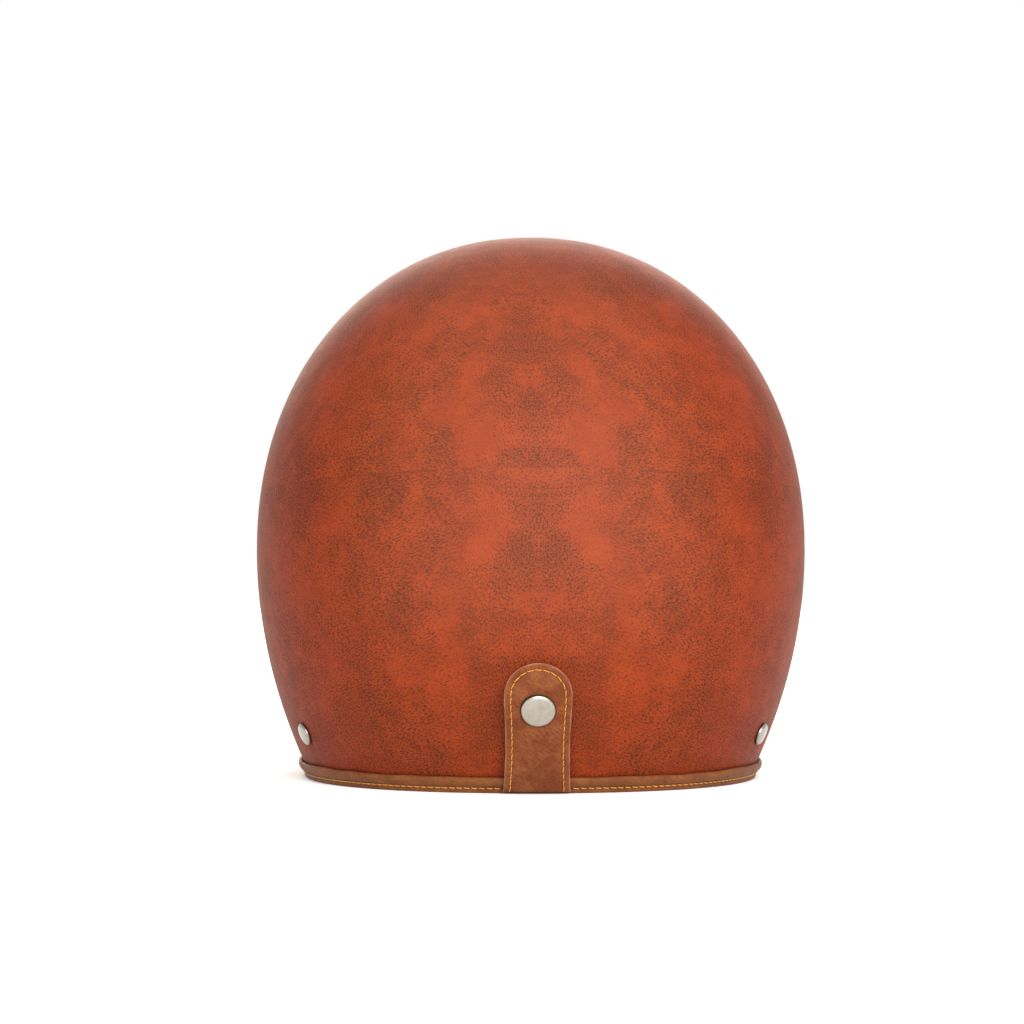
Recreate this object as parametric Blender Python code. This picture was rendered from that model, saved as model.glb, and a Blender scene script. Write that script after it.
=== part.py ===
"""Open-face motorcycle helmet, built as its separate pieces.

The helmet stands on its lower rim at z = 0 and faces -Y, so +X is the wearer's left.
Every piece that lies on the shell is described by three things: an azimuth round the crown
axis (0 at the front, 90 at the wearer's left, 180 at the nape), a height, and a depth inside
the shell's outer surface, which is negative outside it.
"""

import math

import bmesh
import bpy
import numpy as np
from mathutils import Matrix, Vector

MM = 0.001

# Shell: the outer surface
SHELL_HALF_WIDTH = 124.0 * MM
SHELL_FRONT_REACH = 134.0 * MM
SHELL_REAR_REACH = 150.0 * MM
WIDEST_HEIGHT = 102.0 * MM
CROWN_RISE = 142.0 * MM
SIDE_TAPER_RADIUS = 213.0 * MM
FRONT_TAPER_RADIUS = 200.0 * MM
REAR_TAPER_RADIUS = 142.0 * MM
DOME_POWER = 2.1
PLAN_POWER = 2.2
CROWN_Y = (SHELL_FRONT_REACH - SHELL_REAR_REACH) / 2
SHELL_THICKNESS = 4.0 * MM
SHELL_EDGE_HEIGHT = 1.9 * MM
BROW_HEIGHT = 130.0 * MM
POLE_TILT_BACK = 40.0

# The gap that neighbouring pieces keep, a wider one between large curved pieces, and the
# overrun of all cuts
GAP = 0.3 * MM
LINER_GAP = 1.2 * MM
CUT_OVERRUN = 3.0 * MM

# Edge trim: proud of the shell's edge by these amounts
TRIM_PROUD = 2.2 * MM
TRIM_OUTER_LIP = 6.6 * MM
TRIM_INNER_LIP = 5.6 * MM
TRIM_WALL = 1.5 * MM
TRIM_FLOOR = 2.6 * MM

# Impact liner, comfort liner and neck roll
IMPACT_THICKNESS = 29.5 * MM
COMFORT_THICKNESS = 8.7 * MM
COMFORT_LIP_DROP = 4.5 * MM
COMFORT_LIP_STANDOFF = 4.0 * MM
COMFORT_LIP_DEPTH = SHELL_THICKNESS + COMFORT_LIP_STANDOFF
NECK_ROLL_STANDOFF = 16.5 * MM
NECK_ROLL_DEPTH = SHELL_THICKNESS + NECK_ROLL_STANDOFF
NECK_ROLL_FOOT = 9.0 * MM
NECK_ROLL_HALF_THICKNESS = 9.0 * MM
NECK_ROLL_HALF_ANGLE = 38.0
NECK_ROLL_END_SHARES = (0.45, 0.8, 0.95)

# Control polygons of the edges: azimuth, and height as a share of the brow's height
SHELL_EDGE_SHARES = (
    (0, 1.0), (20, 1.0), (38, 0.985), (52, 0.9), (62, 0.72), (66, 0.54), (65, 0.38),
    (62, 0.25), (60, 0.14), (60, 0.05), (64, 0.0), (72, 0.0), (84, 0.0), (100, 0.0),
    (118, 0.0), (139, 0.0), (160, 0.0), (180, 0.0),
)
LINER_EDGE_SHARES = (
    (0, 1.075), (20, 1.075), (38, 1.06), (54, 0.99), (66, 0.87), (80, 0.785), (97, 0.755),
    (109, 0.73), (119, 0.55), (129, 0.38), (145, 0.355), (162, 0.355), (180, 0.355),
)

# Press studs: a flange and a post outside the shell, a shank through it and a washer inside
STUD_FLANGE_RADIUS = 5.0 * MM
STUD_FLANGE_HEIGHT = 0.8 * MM
STUD_POST_RADIUS = 1.8 * MM
STUD_HEAD_RADIUS = 2.1 * MM
STUD_HEIGHT = 3.2 * MM
SHANK_RADIUS = 1.8 * MM
SHANK_CLEARANCE = 0.35 * MM
WASHER_RADIUS = 5.5 * MM
WASHER_THICKNESS = 0.8 * MM
BROW_STUD_AZIMUTH = 36.0
BROW_STUD_HEIGHT = 152.0 * MM
BROW_STUD_LENGTH = 4.4 * MM
BROW_STUD_RADIUS = 3.0 * MM
POCKET_DEPTH = 4.0 * MM

# Rear tab, which holds a goggle strap against the shell
TAB_HEIGHT = 56.5 * MM
TAB_FOOT_HEIGHT = 0.8 * MM
TAB_HALF_WIDTH = 14.3 * MM
TAB_WAIST_HALF_WIDTH = 13.6 * MM
TAB_THICKNESS = 2.4 * MM
TAB_STANDOFF = 4.1 * MM
TAB_TIP_STANDOFF = 1.3 * MM
TAB_ROUND_HEIGHT = 13.4 * MM
TAB_SNAP_HEIGHT = 39.0 * MM
TAB_HINGE_HEIGHT = 1.7 * MM
TAB_SNAP_SEAT = 0.5 * MM
CAP_RADIUS = 7.3 * MM
CAP_RIM_HEIGHT = 0.5 * MM
CAP_CROWN_HEIGHT = 1.5 * MM
CAP_POST_RADIUS = 2.0 * MM
SOCKET_RADIUS = 5.8 * MM
SOCKET_BORE_RADIUS = 2.5 * MM
SOCKET_HEIGHT = 1.5 * MM

# Chin strap anchors, in the frame of the rivet: depth inside the shell and distance down it
RIVET_AZIMUTH = 120.0
RIVET_HEIGHT = 22.0 * MM
RIVET_HEAD_RADIUS = 5.2 * MM
RIVET_HEAD_HEIGHT = 2.0 * MM
RIVET_RIM_HEIGHT = 0.6 * MM
RIVET_SHANK_RADIUS = 2.4 * MM
RIVET_TAIL_RADIUS = 4.0 * MM
RIVET_TAIL_HEIGHT = 1.4 * MM
SPACER_RADIUS = 5.5 * MM
PLATE_STANDOFF = 3.6 * MM
PLATE_DEPTH = SHELL_THICKNESS + PLATE_STANDOFF
PLATE_THICKNESS = 1.5 * MM
PLATE_HEAD_RADIUS = 8.5 * MM
PLATE_HALF_WIDTH = 15.5 * MM
PLATE_SHOULDER = 3.5 * MM
SLOT_TOP = 5.5 * MM
SLOT_HEIGHT = 4.0 * MM
SLOT_BAR = 3.0 * MM
WEBBING_WIDTH = 25.0 * MM
WEBBING_THICKNESS = 1.5 * MM
STRAP_THICKNESS = 2.4 * MM
STRAP_FLOOR_GAP = 0.4 * MM
STRAP_HINGE_STANDOFF = 5.4 * MM
STRAP_HINGE_DEPTH = PLATE_DEPTH + STRAP_HINGE_STANDOFF
STRAP_HINGE_RISE = 0.2 * MM
STRAP_ROOT_CLEARANCE = 0.75 * MM

# Short strap with its two rings: its flat run ends this far from the helmet's middle plane
RING_LOOP_TO_MIDDLE = 40.0 * MM
RING_WIRE_RADIUS = 1.5 * MM
RING_HALF_WIDTH = 14.5 * MM
RING_REACH = 19.0 * MM
RING_STRAIGHT = 7.0 * MM
RING_TILT = 5.5
RING_LOOP_LENGTH = 5.0 * MM

# Long strap, which folds this far past the middle plane, its end, which lies back on it to
# this far from the strap's hinge, and the press stud that keeps the end
FOLD_PAST_MIDDLE = 0.5 * MM
STRAP_END_SETBACK = 23.0 * MM
FOLD_RISE = 0.35 * MM
KEEPER_SETBACK = 14.0 * MM
KEEPER_HOLE_RADIUS = 5.0 * MM
KEEPER_FLANGE_RADIUS = 4.6 * MM
KEEPER_FLANGE_HEIGHT = 0.5 * MM
KEEPER_POST_RADIUS = 2.0 * MM
KEEPER_POST_HEIGHT = 1.4 * MM
KEEPER_TUBE_RADIUS = 4.2 * MM
KEEPER_TUBE_BORE = 2.4 * MM
KEEPER_CAP_RADIUS = 6.8 * MM
KEEPER_CAP_HEIGHT = 1.2 * MM

# Cheek block, board, pad and their snaps, in the frame of the block's flat inner face
CHEEK_AZIMUTH = 88.0
CHEEK_HEIGHT = 46.0 * MM
CHEEK_FACE_STANDOFF = 16.0 * MM
CHEEK_FACE_DEPTH = SHELL_THICKNESS + CHEEK_FACE_STANDOFF
CHEEK_PITCH = 15.0
CHEEK_YAW = 3.0
BLOCK_HALF_LENGTH = 36.0 * MM
BLOCK_CENTRE_OFFSET = 4.0 * MM
BLOCK_HALF_HEIGHT = 34.0 * MM
PAD_HALF_LENGTH = 47.0 * MM
PAD_HALF_HEIGHT = 35.0 * MM
PAD_CENTRE_OFFSET = 4.0 * MM
PAD_POWER = 3.0
PAD_CROWN = 22.0 * MM
PAD_EDGE_HEIGHT = 8.0 * MM
BOARD_INSET = 5.0 * MM
BOARD_THICKNESS = 1.6 * MM
CHEEK_STUD_BASE_RADIUS = 5.5 * MM
CHEEK_STUD_BASE_HEIGHT = 0.8 * MM
CHEEK_STUD_POST_RADIUS = 2.2 * MM
CHEEK_STUD_SHARES = {"front": (0.62, -0.35), "rear": (-0.5, -0.35), "top": (0.1, 0.55)}

# Mesh counts
EDGE_STEPS = 72
SHELL_ROWS = 15
SHELL_INNER_ROWS = 13
LINER_STEPS = 44
LINER_ROWS = 8
ROUND_STEPS = 14
SPLINE_STEPS = 24
HALVINGS = 48

MATERIALS = {
    "shell_finish": ((0.42, 0.075, 0.025), 0.42, 0.0),
    "trim_leather": ((0.24, 0.072, 0.024), 0.5, 0.0),
    "impact_foam": ((0.035, 0.035, 0.038), 0.85, 0.0),
    "liner_fabric": ((0.09, 0.045, 0.025), 0.9, 0.0),
    "pad_leather": ((0.17, 0.06, 0.025), 0.55, 0.0),
    "strap_webbing": ((0.02, 0.018, 0.016), 0.85, 0.0),
    "bright_metal": ((0.62, 0.58, 0.52), 0.3, 1.0),
    "black_plastic": ((0.02, 0.02, 0.022), 0.5, 0.0),
}


# Mesh helpers

def clear_scene():
    for obj in list(bpy.data.objects):
        bpy.data.objects.remove(obj, do_unlink=True)


def material_named(name):
    material = bpy.data.materials.get(name)
    if material is None:
        colour, roughness, metallic = MATERIALS[name]
        material = bpy.data.materials.new(name)
        material.use_nodes = True
        shader = material.node_tree.nodes["Principled BSDF"]
        shader.inputs["Base Color"].default_value = (*colour, 1.0)
        shader.inputs["Roughness"].default_value = roughness
        shader.inputs["Metallic"].default_value = metallic
    return material


def finished(name, mesh, material, matrix=None, sharp_angle=40.0):
    """Recalculates the normals, shades the mesh smooth and links it as a named object."""
    work = bmesh.new()
    work.from_mesh(mesh)
    bmesh.ops.remove_doubles(work, verts=work.verts, dist=GAP / 100)
    bmesh.ops.recalc_face_normals(work, faces=work.faces)
    work.to_mesh(mesh)
    work.free()
    mesh.shade_smooth()
    mesh.set_sharp_from_angle(angle=math.radians(sharp_angle))
    obj = bpy.data.objects.new(name, mesh)
    bpy.context.scene.collection.objects.link(obj)
    if matrix is not None:
        obj.matrix_basis = matrix
    if material is not None:
        mesh.materials.append(material_named(material))
    return obj


def skin(name, rings, material, matrix=None, poles=(None, None)):
    """Joins closed rings of equal count into one body. A pole closes an end; without one a flat cap does."""
    count = len(rings[0])
    verts = [tuple(point) for ring in rings for point in ring]
    faces = []
    for k in range(len(rings) - 1):
        for i in range(count):
            j = (i + 1) % count
            low, high = k * count, (k + 1) * count
            faces.append((low + i, low + j, high + j, high + i))
    for pole, start in ((poles[0], 0), (poles[1], (len(rings) - 1) * count)):
        if pole is None:
            faces.append(tuple(range(start, start + count)))
            continue
        verts.append(tuple(pole))
        tip = len(verts) - 1
        faces += [(start + i, start + (i + 1) % count, tip) for i in range(count)]
    mesh = bpy.data.meshes.new(name)
    mesh.from_pydata(verts, [], faces)
    return finished(name, mesh, material, matrix)


def turned(name, profile, material, matrix, steps=ROUND_STEPS, closed=False):
    """Spins a profile of (radius, height) round local Z. A closed profile leaves a bore."""
    work = bmesh.new()
    verts = [work.verts.new((radius, 0.0, height)) for radius, height in profile]
    pairs = list(zip(verts, verts[1:]))
    if closed:
        pairs.append((verts[-1], verts[0]))
    edges = [work.edges.new(pair) for pair in pairs]
    bmesh.ops.spin(work, geom=verts + edges, cent=(0, 0, 0), axis=(0, 0, 1),
                   angle=math.tau, steps=steps, use_merge=True)
    mesh = bpy.data.meshes.new(name)
    work.to_mesh(mesh)
    work.free()
    return finished(name, mesh, material, matrix)


def extruded(name, outline, half_width, material, matrix):
    """Extrudes an outline of (local Y, local Z) points along local X, both ways."""
    rings = [[(side * half_width, y, z) for y, z in outline] for side in (-1, 1)]
    return skin(name, rings, material, matrix)


def hang(obj, parent):
    """Parents an object where it stands, so that its own basis stays its place at rest."""
    obj.parent = parent
    obj.matrix_parent_inverse = parent.matrix_basis.inverted()


def joint_axis(name, matrix, pieces, parent=None):
    """An empty on a joint's axis, which carries the pieces that move about it."""
    empty = bpy.data.objects.new(name, None)
    empty.matrix_basis = matrix
    bpy.context.scene.collection.objects.link(empty)
    for piece in pieces:
        hang(piece, empty)
    if parent is not None:
        hang(empty, parent)
    return empty


def cutter_of(name, pieces):
    """Joins closed pieces into one hidden cutter."""
    bpy.ops.object.select_all(action="DESELECT")
    for piece in pieces:
        piece.select_set(True)
    bpy.context.view_layer.objects.active = pieces[0]
    if len(pieces) > 1:
        bpy.ops.object.join()
    cutter = pieces[0]
    cutter.name = name
    cutter.hide_render = True
    cutter.display_type = "WIRE"
    return cutter


def cut(obj, cutter):
    hang(cutter, obj)
    modifier = obj.modifiers.new("cut", "BOOLEAN")
    modifier.operation = "DIFFERENCE"
    modifier.object = cutter


def plug(name, radius, low, high, matrix):
    """A round cutter along local Z."""
    profile = [(0.0, low), (radius, low), (radius, high), (0.0, high)]
    return turned(name, profile, None, matrix)


def block(name, low, high, matrix):
    """A box cutter between two corners in the given frame."""
    outline = [(low[1], low[2]), (high[1], low[2]), (high[1], high[2]), (low[1], high[2])]
    rings = [[(x, y, z) for y, z in outline] for x in (low[0], high[0])]
    return skin(name, rings, None, matrix)


# The shell's surface

def plan_sizes(height, depth):
    """Half width, front reach and rear reach of the level section at a height and depth."""
    rise = np.asarray(height, float) - WIDEST_HEIGHT
    up = np.clip(rise / (CROWN_RISE - depth), 0.0, 1.0)
    dome = (1.0 - up ** DOME_POWER) ** (1.0 / DOME_POWER)
    drop = np.minimum(rise, 0.0) ** 2 / 2
    sizes = (
        (SHELL_HALF_WIDTH, SIDE_TAPER_RADIUS),
        (SHELL_FRONT_REACH, FRONT_TAPER_RADIUS),
        (SHELL_REAR_REACH, REAR_TAPER_RADIUS),
    )
    return [(size - depth) * dome - drop / radius for size, radius in sizes]


def surface_point(azimuth, height, depth=0.0):
    """Points at an azimuth in radians, a height and a depth, as an array of rows."""
    azimuth, height = np.broadcast_arrays(np.asarray(azimuth, float), np.asarray(height, float))
    half_width, front, rear = plan_sizes(height, depth)
    reach = np.where(np.cos(azimuth) > 0, front, rear)
    across = np.abs(np.sin(azimuth)) / half_width
    along = np.abs(np.cos(azimuth)) / reach
    radius = (across ** PLAN_POWER + along ** PLAN_POWER) ** (-1.0 / PLAN_POWER)
    return np.stack(
        [radius * np.sin(azimuth), CROWN_Y - radius * np.cos(azimuth), height + 0.0 * radius],
        axis=-1,
    )


def surface_normal(azimuth, height, depth=0.0):
    """Outward normals at those points, from two small steps along the surface."""
    turn, climb = math.radians(0.2), GAP
    round_it = surface_point(azimuth + turn, height, depth) - surface_point(azimuth - turn, height, depth)
    up_it = surface_point(azimuth, height + climb, depth) - surface_point(azimuth, height - climb, depth)
    normal = np.cross(round_it, up_it)
    return normal / np.linalg.norm(normal, axis=-1, keepdims=True)


CENTRE = np.array([0.0, CROWN_Y, WIDEST_HEIGHT])
POLE = np.array([0.0, math.sin(math.radians(POLE_TILT_BACK)), math.cos(math.radians(POLE_TILT_BACK))])


def inside(points, depth):
    """Below 1 inside the surface of that depth, above 1 outside it."""
    half_width, front, rear = plan_sizes(points[..., 2], depth)
    reach = np.where(points[..., 1] < CROWN_Y, front, rear)
    across = np.abs(points[..., 0]) / np.maximum(half_width, GAP)
    along = np.abs(points[..., 1] - CROWN_Y) / np.maximum(reach, GAP)
    return across ** PLAN_POWER + along ** PLAN_POWER


def ray_hit(origins, directions, depth):
    """Distance along each ray to the surface of that depth, found by halving."""
    near = np.zeros(directions.shape[:-1])
    far = np.full(directions.shape[:-1], SHELL_REAR_REACH + CROWN_RISE)
    for _ in range(HALVINGS):
        middle = (near + far) / 2
        beyond = inside(origins + directions * middle[..., None], depth) > 1.0
        far = np.where(beyond, middle, far)
        near = np.where(beyond, near, middle)
    return near


def on_surface(directions, depth):
    return CENTRE + directions * ray_hit(CENTRE, directions, depth)[..., None]


def spline_path(shares, steps):
    """A closed cubic B-spline through a half polygon and its mirror, evenly spaced by length."""
    half = [(math.radians(a), SHELL_EDGE_HEIGHT + s * (BROW_HEIGHT - SHELL_EDGE_HEIGHT)) for a, s in shares]
    mirrored = [(math.tau - a, h) for a, h in reversed(half[1:-1])]
    control = np.array(half + mirrored)
    count = len(control)
    fine = []
    for k in range(count):
        window = [control[(k + j) % count].copy() for j in range(-1, 3)]
        if k == 0:
            window[0][0] -= math.tau
        for j in range(4):
            if k + j - 1 >= count:
                window[j][0] += math.tau
        for step in range(SPLINE_STEPS):
            t = step / SPLINE_STEPS
            basis = ((1 - t) ** 3, 3 * t ** 3 - 6 * t ** 2 + 4, -3 * t ** 3 + 3 * t ** 2 + 3 * t + 1, t ** 3)
            fine.append(sum(b * w for b, w in zip(basis, window)) / 6)
    fine = np.array(fine + [fine[0] + (math.tau, 0.0)])
    points = surface_point(fine[:, 0], fine[:, 1])
    walked = np.concatenate([[0.0], np.cumsum(np.linalg.norm(np.diff(points, axis=0), axis=1))])
    wanted = np.arange(steps) / steps * walked[-1]
    return np.interp(wanted, walked, fine[:, 0]), np.interp(wanted, walked, fine[:, 1])


def turn_between(start, end, share):
    """Unit vectors on the great circle from one direction to others; a share over 1 goes past the end."""
    angle = np.arccos(np.clip(end @ start, -1.0, 1.0))[:, None]
    return (np.sin((1 - share) * angle) * start + np.sin(share * angle) * end) / np.sin(angle)


def edge_directions(path, depth):
    """Directions from the centre to the edge of a layer, straight in from the outer edge."""
    azimuth, height = path
    point = surface_point(azimuth, height) - depth * surface_normal(azimuth, height)
    direction = point - CENTRE
    return direction / np.linalg.norm(direction, axis=1, keepdims=True)


def layer_ring(path, depth, share=1.0, beyond=0.0):
    """One ring of a layer: a share of the way from the pole to the edge, and then a distance beyond."""
    ends = edge_directions(path, depth)
    if beyond:
        reach = np.arccos(np.clip(ends @ POLE, -1.0, 1.0)) * ray_hit(CENTRE, ends, depth)
        share = share + (beyond / reach)[:, None]
    return on_surface(turn_between(POLE, ends, share), depth)


def layer_rows(path, depth, rows):
    return [layer_ring(path, depth, row / rows) for row in range(1, rows + 1)]


def frame_at(origin, normal):
    """A frame with local Z out along the normal, local X level and local Y up the surface."""
    out = Vector(normal).normalized()
    level = Vector((0, 0, 1)).cross(out).normalized()
    up = out.cross(level)
    rotation = Matrix((level, up, out)).transposed().to_4x4()
    return Matrix.Translation(Vector(origin)) @ rotation


def shell_frame(azimuth_deg, height):
    azimuth = math.radians(azimuth_deg)
    return frame_at(surface_point(azimuth, height), surface_normal(azimuth, height))


def wall_at(frame, radius=0.0):
    """Depth of the shell's inner surface along local -Z, the deepest round a circle."""
    inward = np.array(-frame.col[2].xyz)
    angles = np.arange(ROUND_STEPS) * math.tau / ROUND_STEPS
    level, up = np.array(frame.col[0].xyz), np.array(frame.col[1].xyz)
    rim = np.outer(np.cos(angles), level) + np.outer(np.sin(angles), up)
    starts = np.array(frame.translation) + rim * radius
    near, far = np.zeros(ROUND_STEPS), np.full(ROUND_STEPS, 3 * SHELL_THICKNESS)
    for _ in range(HALVINGS):
        middle = (near + far) / 2
        in_wall = inside(starts + inward * middle[:, None], SHELL_THICKNESS) > 1.0
        near = np.where(in_wall, middle, near)
        far = np.where(in_wall, far, middle)
    return float(far.max())


# Shell, trim and liners

def make_shell(path, holes):
    inner = layer_rows(path, SHELL_THICKNESS, SHELL_INNER_ROWS)
    inner.insert(-1, layer_ring(path, SHELL_THICKNESS, beyond=-TRIM_INNER_LIP - TRIM_WALL))
    rings = layer_rows(path, 0.0, SHELL_ROWS) + inner[::-1]
    poles = (on_surface(POLE[None], 0.0)[0], on_surface(POLE[None], SHELL_THICKNESS)[0])
    shell = skin("outer_shell", rings, "shell_finish", poles=poles)
    cutters = []
    for number, (frame, radius) in enumerate(holes):
        low = -wall_at(frame) - CUT_OVERRUN
        cutters.append(plug(f"shell_hole_{number}", radius, low, CUT_OVERRUN, frame))
    cut(shell, cutter_of("shell_holes", cutters))


def trim_profile():
    """The channel's section as (outward, into the shell) offsets from the shell's outer edge."""
    inner = -SHELL_THICKNESS - 2 * GAP
    return [
        (GAP, TRIM_OUTER_LIP),
        (TRIM_WALL, TRIM_OUTER_LIP + GAP),
        (TRIM_PROUD, TRIM_OUTER_LIP - TRIM_WALL),
        (TRIM_PROUD, TRIM_WALL),
        (TRIM_PROUD - 2 * GAP, -TRIM_FLOOR + GAP),
        (0.0, -TRIM_FLOOR),
        (inner + TRIM_WALL, -TRIM_FLOOR),
        (inner - TRIM_WALL, -TRIM_WALL),
        (inner - TRIM_WALL, TRIM_INNER_LIP),
        (inner, TRIM_INNER_LIP),
        (inner, -GAP),
        (GAP, -GAP),
    ]


def make_trim(path):
    azimuth, height = path
    edge = surface_point(azimuth, height)
    out = surface_normal(azimuth, height)
    along = np.roll(edge, -1, axis=0) - np.roll(edge, 1, axis=0)
    into = np.cross(along, out)
    into /= np.linalg.norm(into, axis=1, keepdims=True)
    into *= np.sign(np.einsum("ij,ij->i", into, on_surface(POLE[None], 0.0) - edge))[:, None]
    loops = [edge + out * n + into * h for n, h in trim_profile()]
    for loop in loops:
        loop[:, 2] = np.maximum(loop[:, 2], 0.0)
    count = len(loops)
    verts = [tuple(point) for loop in loops for point in loop]
    faces = []
    for k in range(count):
        for i in range(EDGE_STEPS):
            j = (i + 1) % EDGE_STEPS
            low, high = k * EDGE_STEPS, (k + 1) % count * EDGE_STEPS
            faces.append((low + i, low + j, high + j, high + i))
    mesh = bpy.data.meshes.new("edge_trim")
    mesh.from_pydata(verts, [], faces)
    finished("edge_trim", mesh, "trim_leather")


def make_liners(path, pocket_frames):
    outer = SHELL_THICKNESS + LINER_GAP
    inner = outer + IMPACT_THICKNESS
    rings = layer_rows(path, outer, LINER_ROWS) + layer_rows(path, inner, LINER_ROWS)[::-1]
    poles = (on_surface(POLE[None], outer)[0], on_surface(POLE[None], inner)[0])
    impact = skin("impact_liner", rings, "impact_foam", poles=poles)
    pockets = []
    for number, frame in enumerate(pocket_frames):
        low = -wall_at(frame) - POCKET_DEPTH
        pockets.append(plug(f"pocket_{number}", WASHER_RADIUS + 2 * GAP, low, CUT_OVERRUN, frame))
    cut(impact, cutter_of("impact_pockets", pockets))

    back = inner + 3 * GAP
    face = back + COMFORT_THICKNESS
    lip = LINER_GAP + COMFORT_LIP_DROP
    rings = layer_rows(path, back, LINER_ROWS)
    rings.append(layer_ring(path, back, beyond=LINER_GAP))
    rings.append(layer_ring(path, COMFORT_LIP_DEPTH, beyond=LINER_GAP))
    rings.append(layer_ring(path, COMFORT_LIP_DEPTH, beyond=lip))
    rings.append(layer_ring(path, face, beyond=lip))
    rings += layer_rows(path, face, LINER_ROWS)[::-1]
    poles = (on_surface(POLE[None], back)[0], on_surface(POLE[None], face)[0])
    skin("comfort_liner", rings, "liner_fabric", poles=poles)


def make_neck_roll():
    """A padded roll under the impact liner's rear edge, drawn in at its two ends."""
    edge_share = LINER_EDGE_SHARES[-1][1]
    edge_height = SHELL_EDGE_HEIGHT + edge_share * (BROW_HEIGHT - SHELL_EDGE_HEIGHT)
    rise = -NECK_ROLL_DEPTH * surface_normal(math.pi, edge_height)[2]
    half_height = (edge_height + rise - LINER_GAP - COMFORT_LIP_DROP - LINER_GAP - NECK_ROLL_FOOT) / 2
    middle = len(NECK_ROLL_END_SHARES)
    steps = 2 * middle + 8
    rings = []
    for k in range(steps + 1):
        from_end = min(k, steps - k)
        scale = NECK_ROLL_END_SHARES[from_end] if from_end < middle else 1.0
        turn = NECK_ROLL_HALF_ANGLE * (2 * k / steps - 1)
        azimuth = math.radians(180.0 + turn)
        ring = []
        for i in range(ROUND_STEPS):
            angle = math.tau * i / ROUND_STEPS
            depth = NECK_ROLL_DEPTH + scale * NECK_ROLL_HALF_THICKNESS * math.cos(angle)
            height = NECK_ROLL_FOOT + half_height * (1 + scale * math.sin(angle))
            ring.append(surface_point(azimuth, height, depth))
        rings.append(ring)
    skin("neck_roll", rings, "pad_leather")


# Press studs through the shell

def make_stud(name, frame, post_radius, head_radius, height):
    tail = washer_top(frame) - WASHER_THICKNESS - 2 * GAP
    flange_top = GAP + STUD_FLANGE_HEIGHT
    neck_top = (flange_top + height) / 2
    tail_radius = SHANK_RADIUS + WASHER_THICKNESS
    profile = [
        (0.0, height),
        (head_radius - GAP, height),
        (head_radius, neck_top + GAP),
        (post_radius, neck_top - GAP),
        (post_radius, flange_top),
        (STUD_FLANGE_RADIUS - GAP, flange_top),
        (STUD_FLANGE_RADIUS, GAP),
        (SHANK_RADIUS, GAP),
        (SHANK_RADIUS, tail + GAP),
        (tail_radius, tail + GAP),
        (tail_radius, tail - WASHER_THICKNESS),
        (0.0, tail - WASHER_THICKNESS),
    ]
    turned(name, profile, "bright_metal", frame)


def washer_top(frame):
    return -wall_at(frame, WASHER_RADIUS) - LINER_GAP


def make_washer(name, frame):
    top = washer_top(frame)
    bore = SHANK_RADIUS + SHANK_CLEARANCE
    profile = [
        (bore, top),
        (WASHER_RADIUS, top),
        (WASHER_RADIUS, top - WASHER_THICKNESS),
        (bore, top - WASHER_THICKNESS),
    ]
    turned(name, profile, "bright_metal", frame, closed=True)


# Rear tab

def tab_half_width(height):
    """The tab's half width: a slight waist, and a round top."""
    waist = TAB_HALF_WIDTH - TAB_WAIST_HALF_WIDTH
    plain = TAB_HALF_WIDTH - waist * math.sin(math.pi * min(height / TAB_SNAP_HEIGHT, 1.0))
    into_round = height - (TAB_HEIGHT - TAB_ROUND_HEIGHT)
    if into_round <= 0:
        return plain
    return plain * math.sqrt(max(1.0 - (into_round / TAB_ROUND_HEIGHT) ** 2, 0.0))


def tab_standoff(height):
    """Level distance from the shell to the tab's back, easing in towards the tip."""
    eased = np.clip((height - TAB_SNAP_HEIGHT - SOCKET_RADIUS) / TAB_ROUND_HEIGHT, 0.0, 1.0)
    return TAB_STANDOFF + (TAB_TIP_STANDOFF - TAB_STANDOFF) * eased


def rear_point(x, height, standoff):
    """The point behind the shell at a width, height and level standoff."""
    half_width, _, rear = plan_sizes(height, -standoff)
    y = rear * (1.0 - (abs(x) / half_width) ** PLAN_POWER) ** (1.0 / PLAN_POWER)
    return (x, CROWN_Y + y, height)


def make_tab(snap_frame):
    straight, rounds, across = 9, 6, 6
    straight_top = TAB_HEIGHT - TAB_ROUND_HEIGHT
    heights = [TAB_FOOT_HEIGHT + (straight_top - TAB_FOOT_HEIGHT) * k / straight for k in range(straight)]
    heights += [straight_top + TAB_ROUND_HEIGHT * math.sin(math.pi / 2 * k / rounds) for k in range(rounds)]
    heights.append(TAB_HEIGHT - GAP / 3)
    rings = []
    for height in heights:
        half, standoff = tab_half_width(height), float(tab_standoff(height))
        columns = [half * (2 * i / across - 1) for i in range(across + 1)]
        ring = [rear_point(x, height, standoff) for x in columns]
        ring += [rear_point(x, height, standoff + TAB_THICKNESS) for x in columns[::-1]]
        rings.append(ring)
    tab = skin("rear_tab", rings, "trim_leather")
    hole = CAP_POST_RADIUS + SHANK_CLEARANCE
    leather_top = snap_stack()["leather_top"]
    cut(tab, cutter_of("tab_hole", [plug("tab_hole", hole, 0.0, leather_top + CUT_OVERRUN, snap_frame)]))
    return tab


def tab_axis():
    """The tab bends about a level line in the middle of its leather, just above its foot."""
    middle = rear_point(0.0, TAB_HINGE_HEIGHT, TAB_STANDOFF + TAB_THICKNESS / 2)
    return Matrix.Translation(middle)


def snap_stack():
    """Heights above the shell of the pieces at the tab's snap, along the stud."""
    lean = surface_normal(math.pi, TAB_SNAP_HEIGHT)[1]
    leather_back = TAB_STANDOFF * lean
    leather_top = (TAB_STANDOFF + TAB_THICKNESS) * lean
    socket_top = leather_back - TAB_SNAP_SEAT
    return {
        "leather_back": leather_back,
        "leather_top": leather_top,
        "socket_top": socket_top,
        "socket_foot": socket_top - SOCKET_HEIGHT,
        "cap_foot": leather_top + GAP,
        "post_foot": STUD_HEIGHT + GAP,
    }


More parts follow.
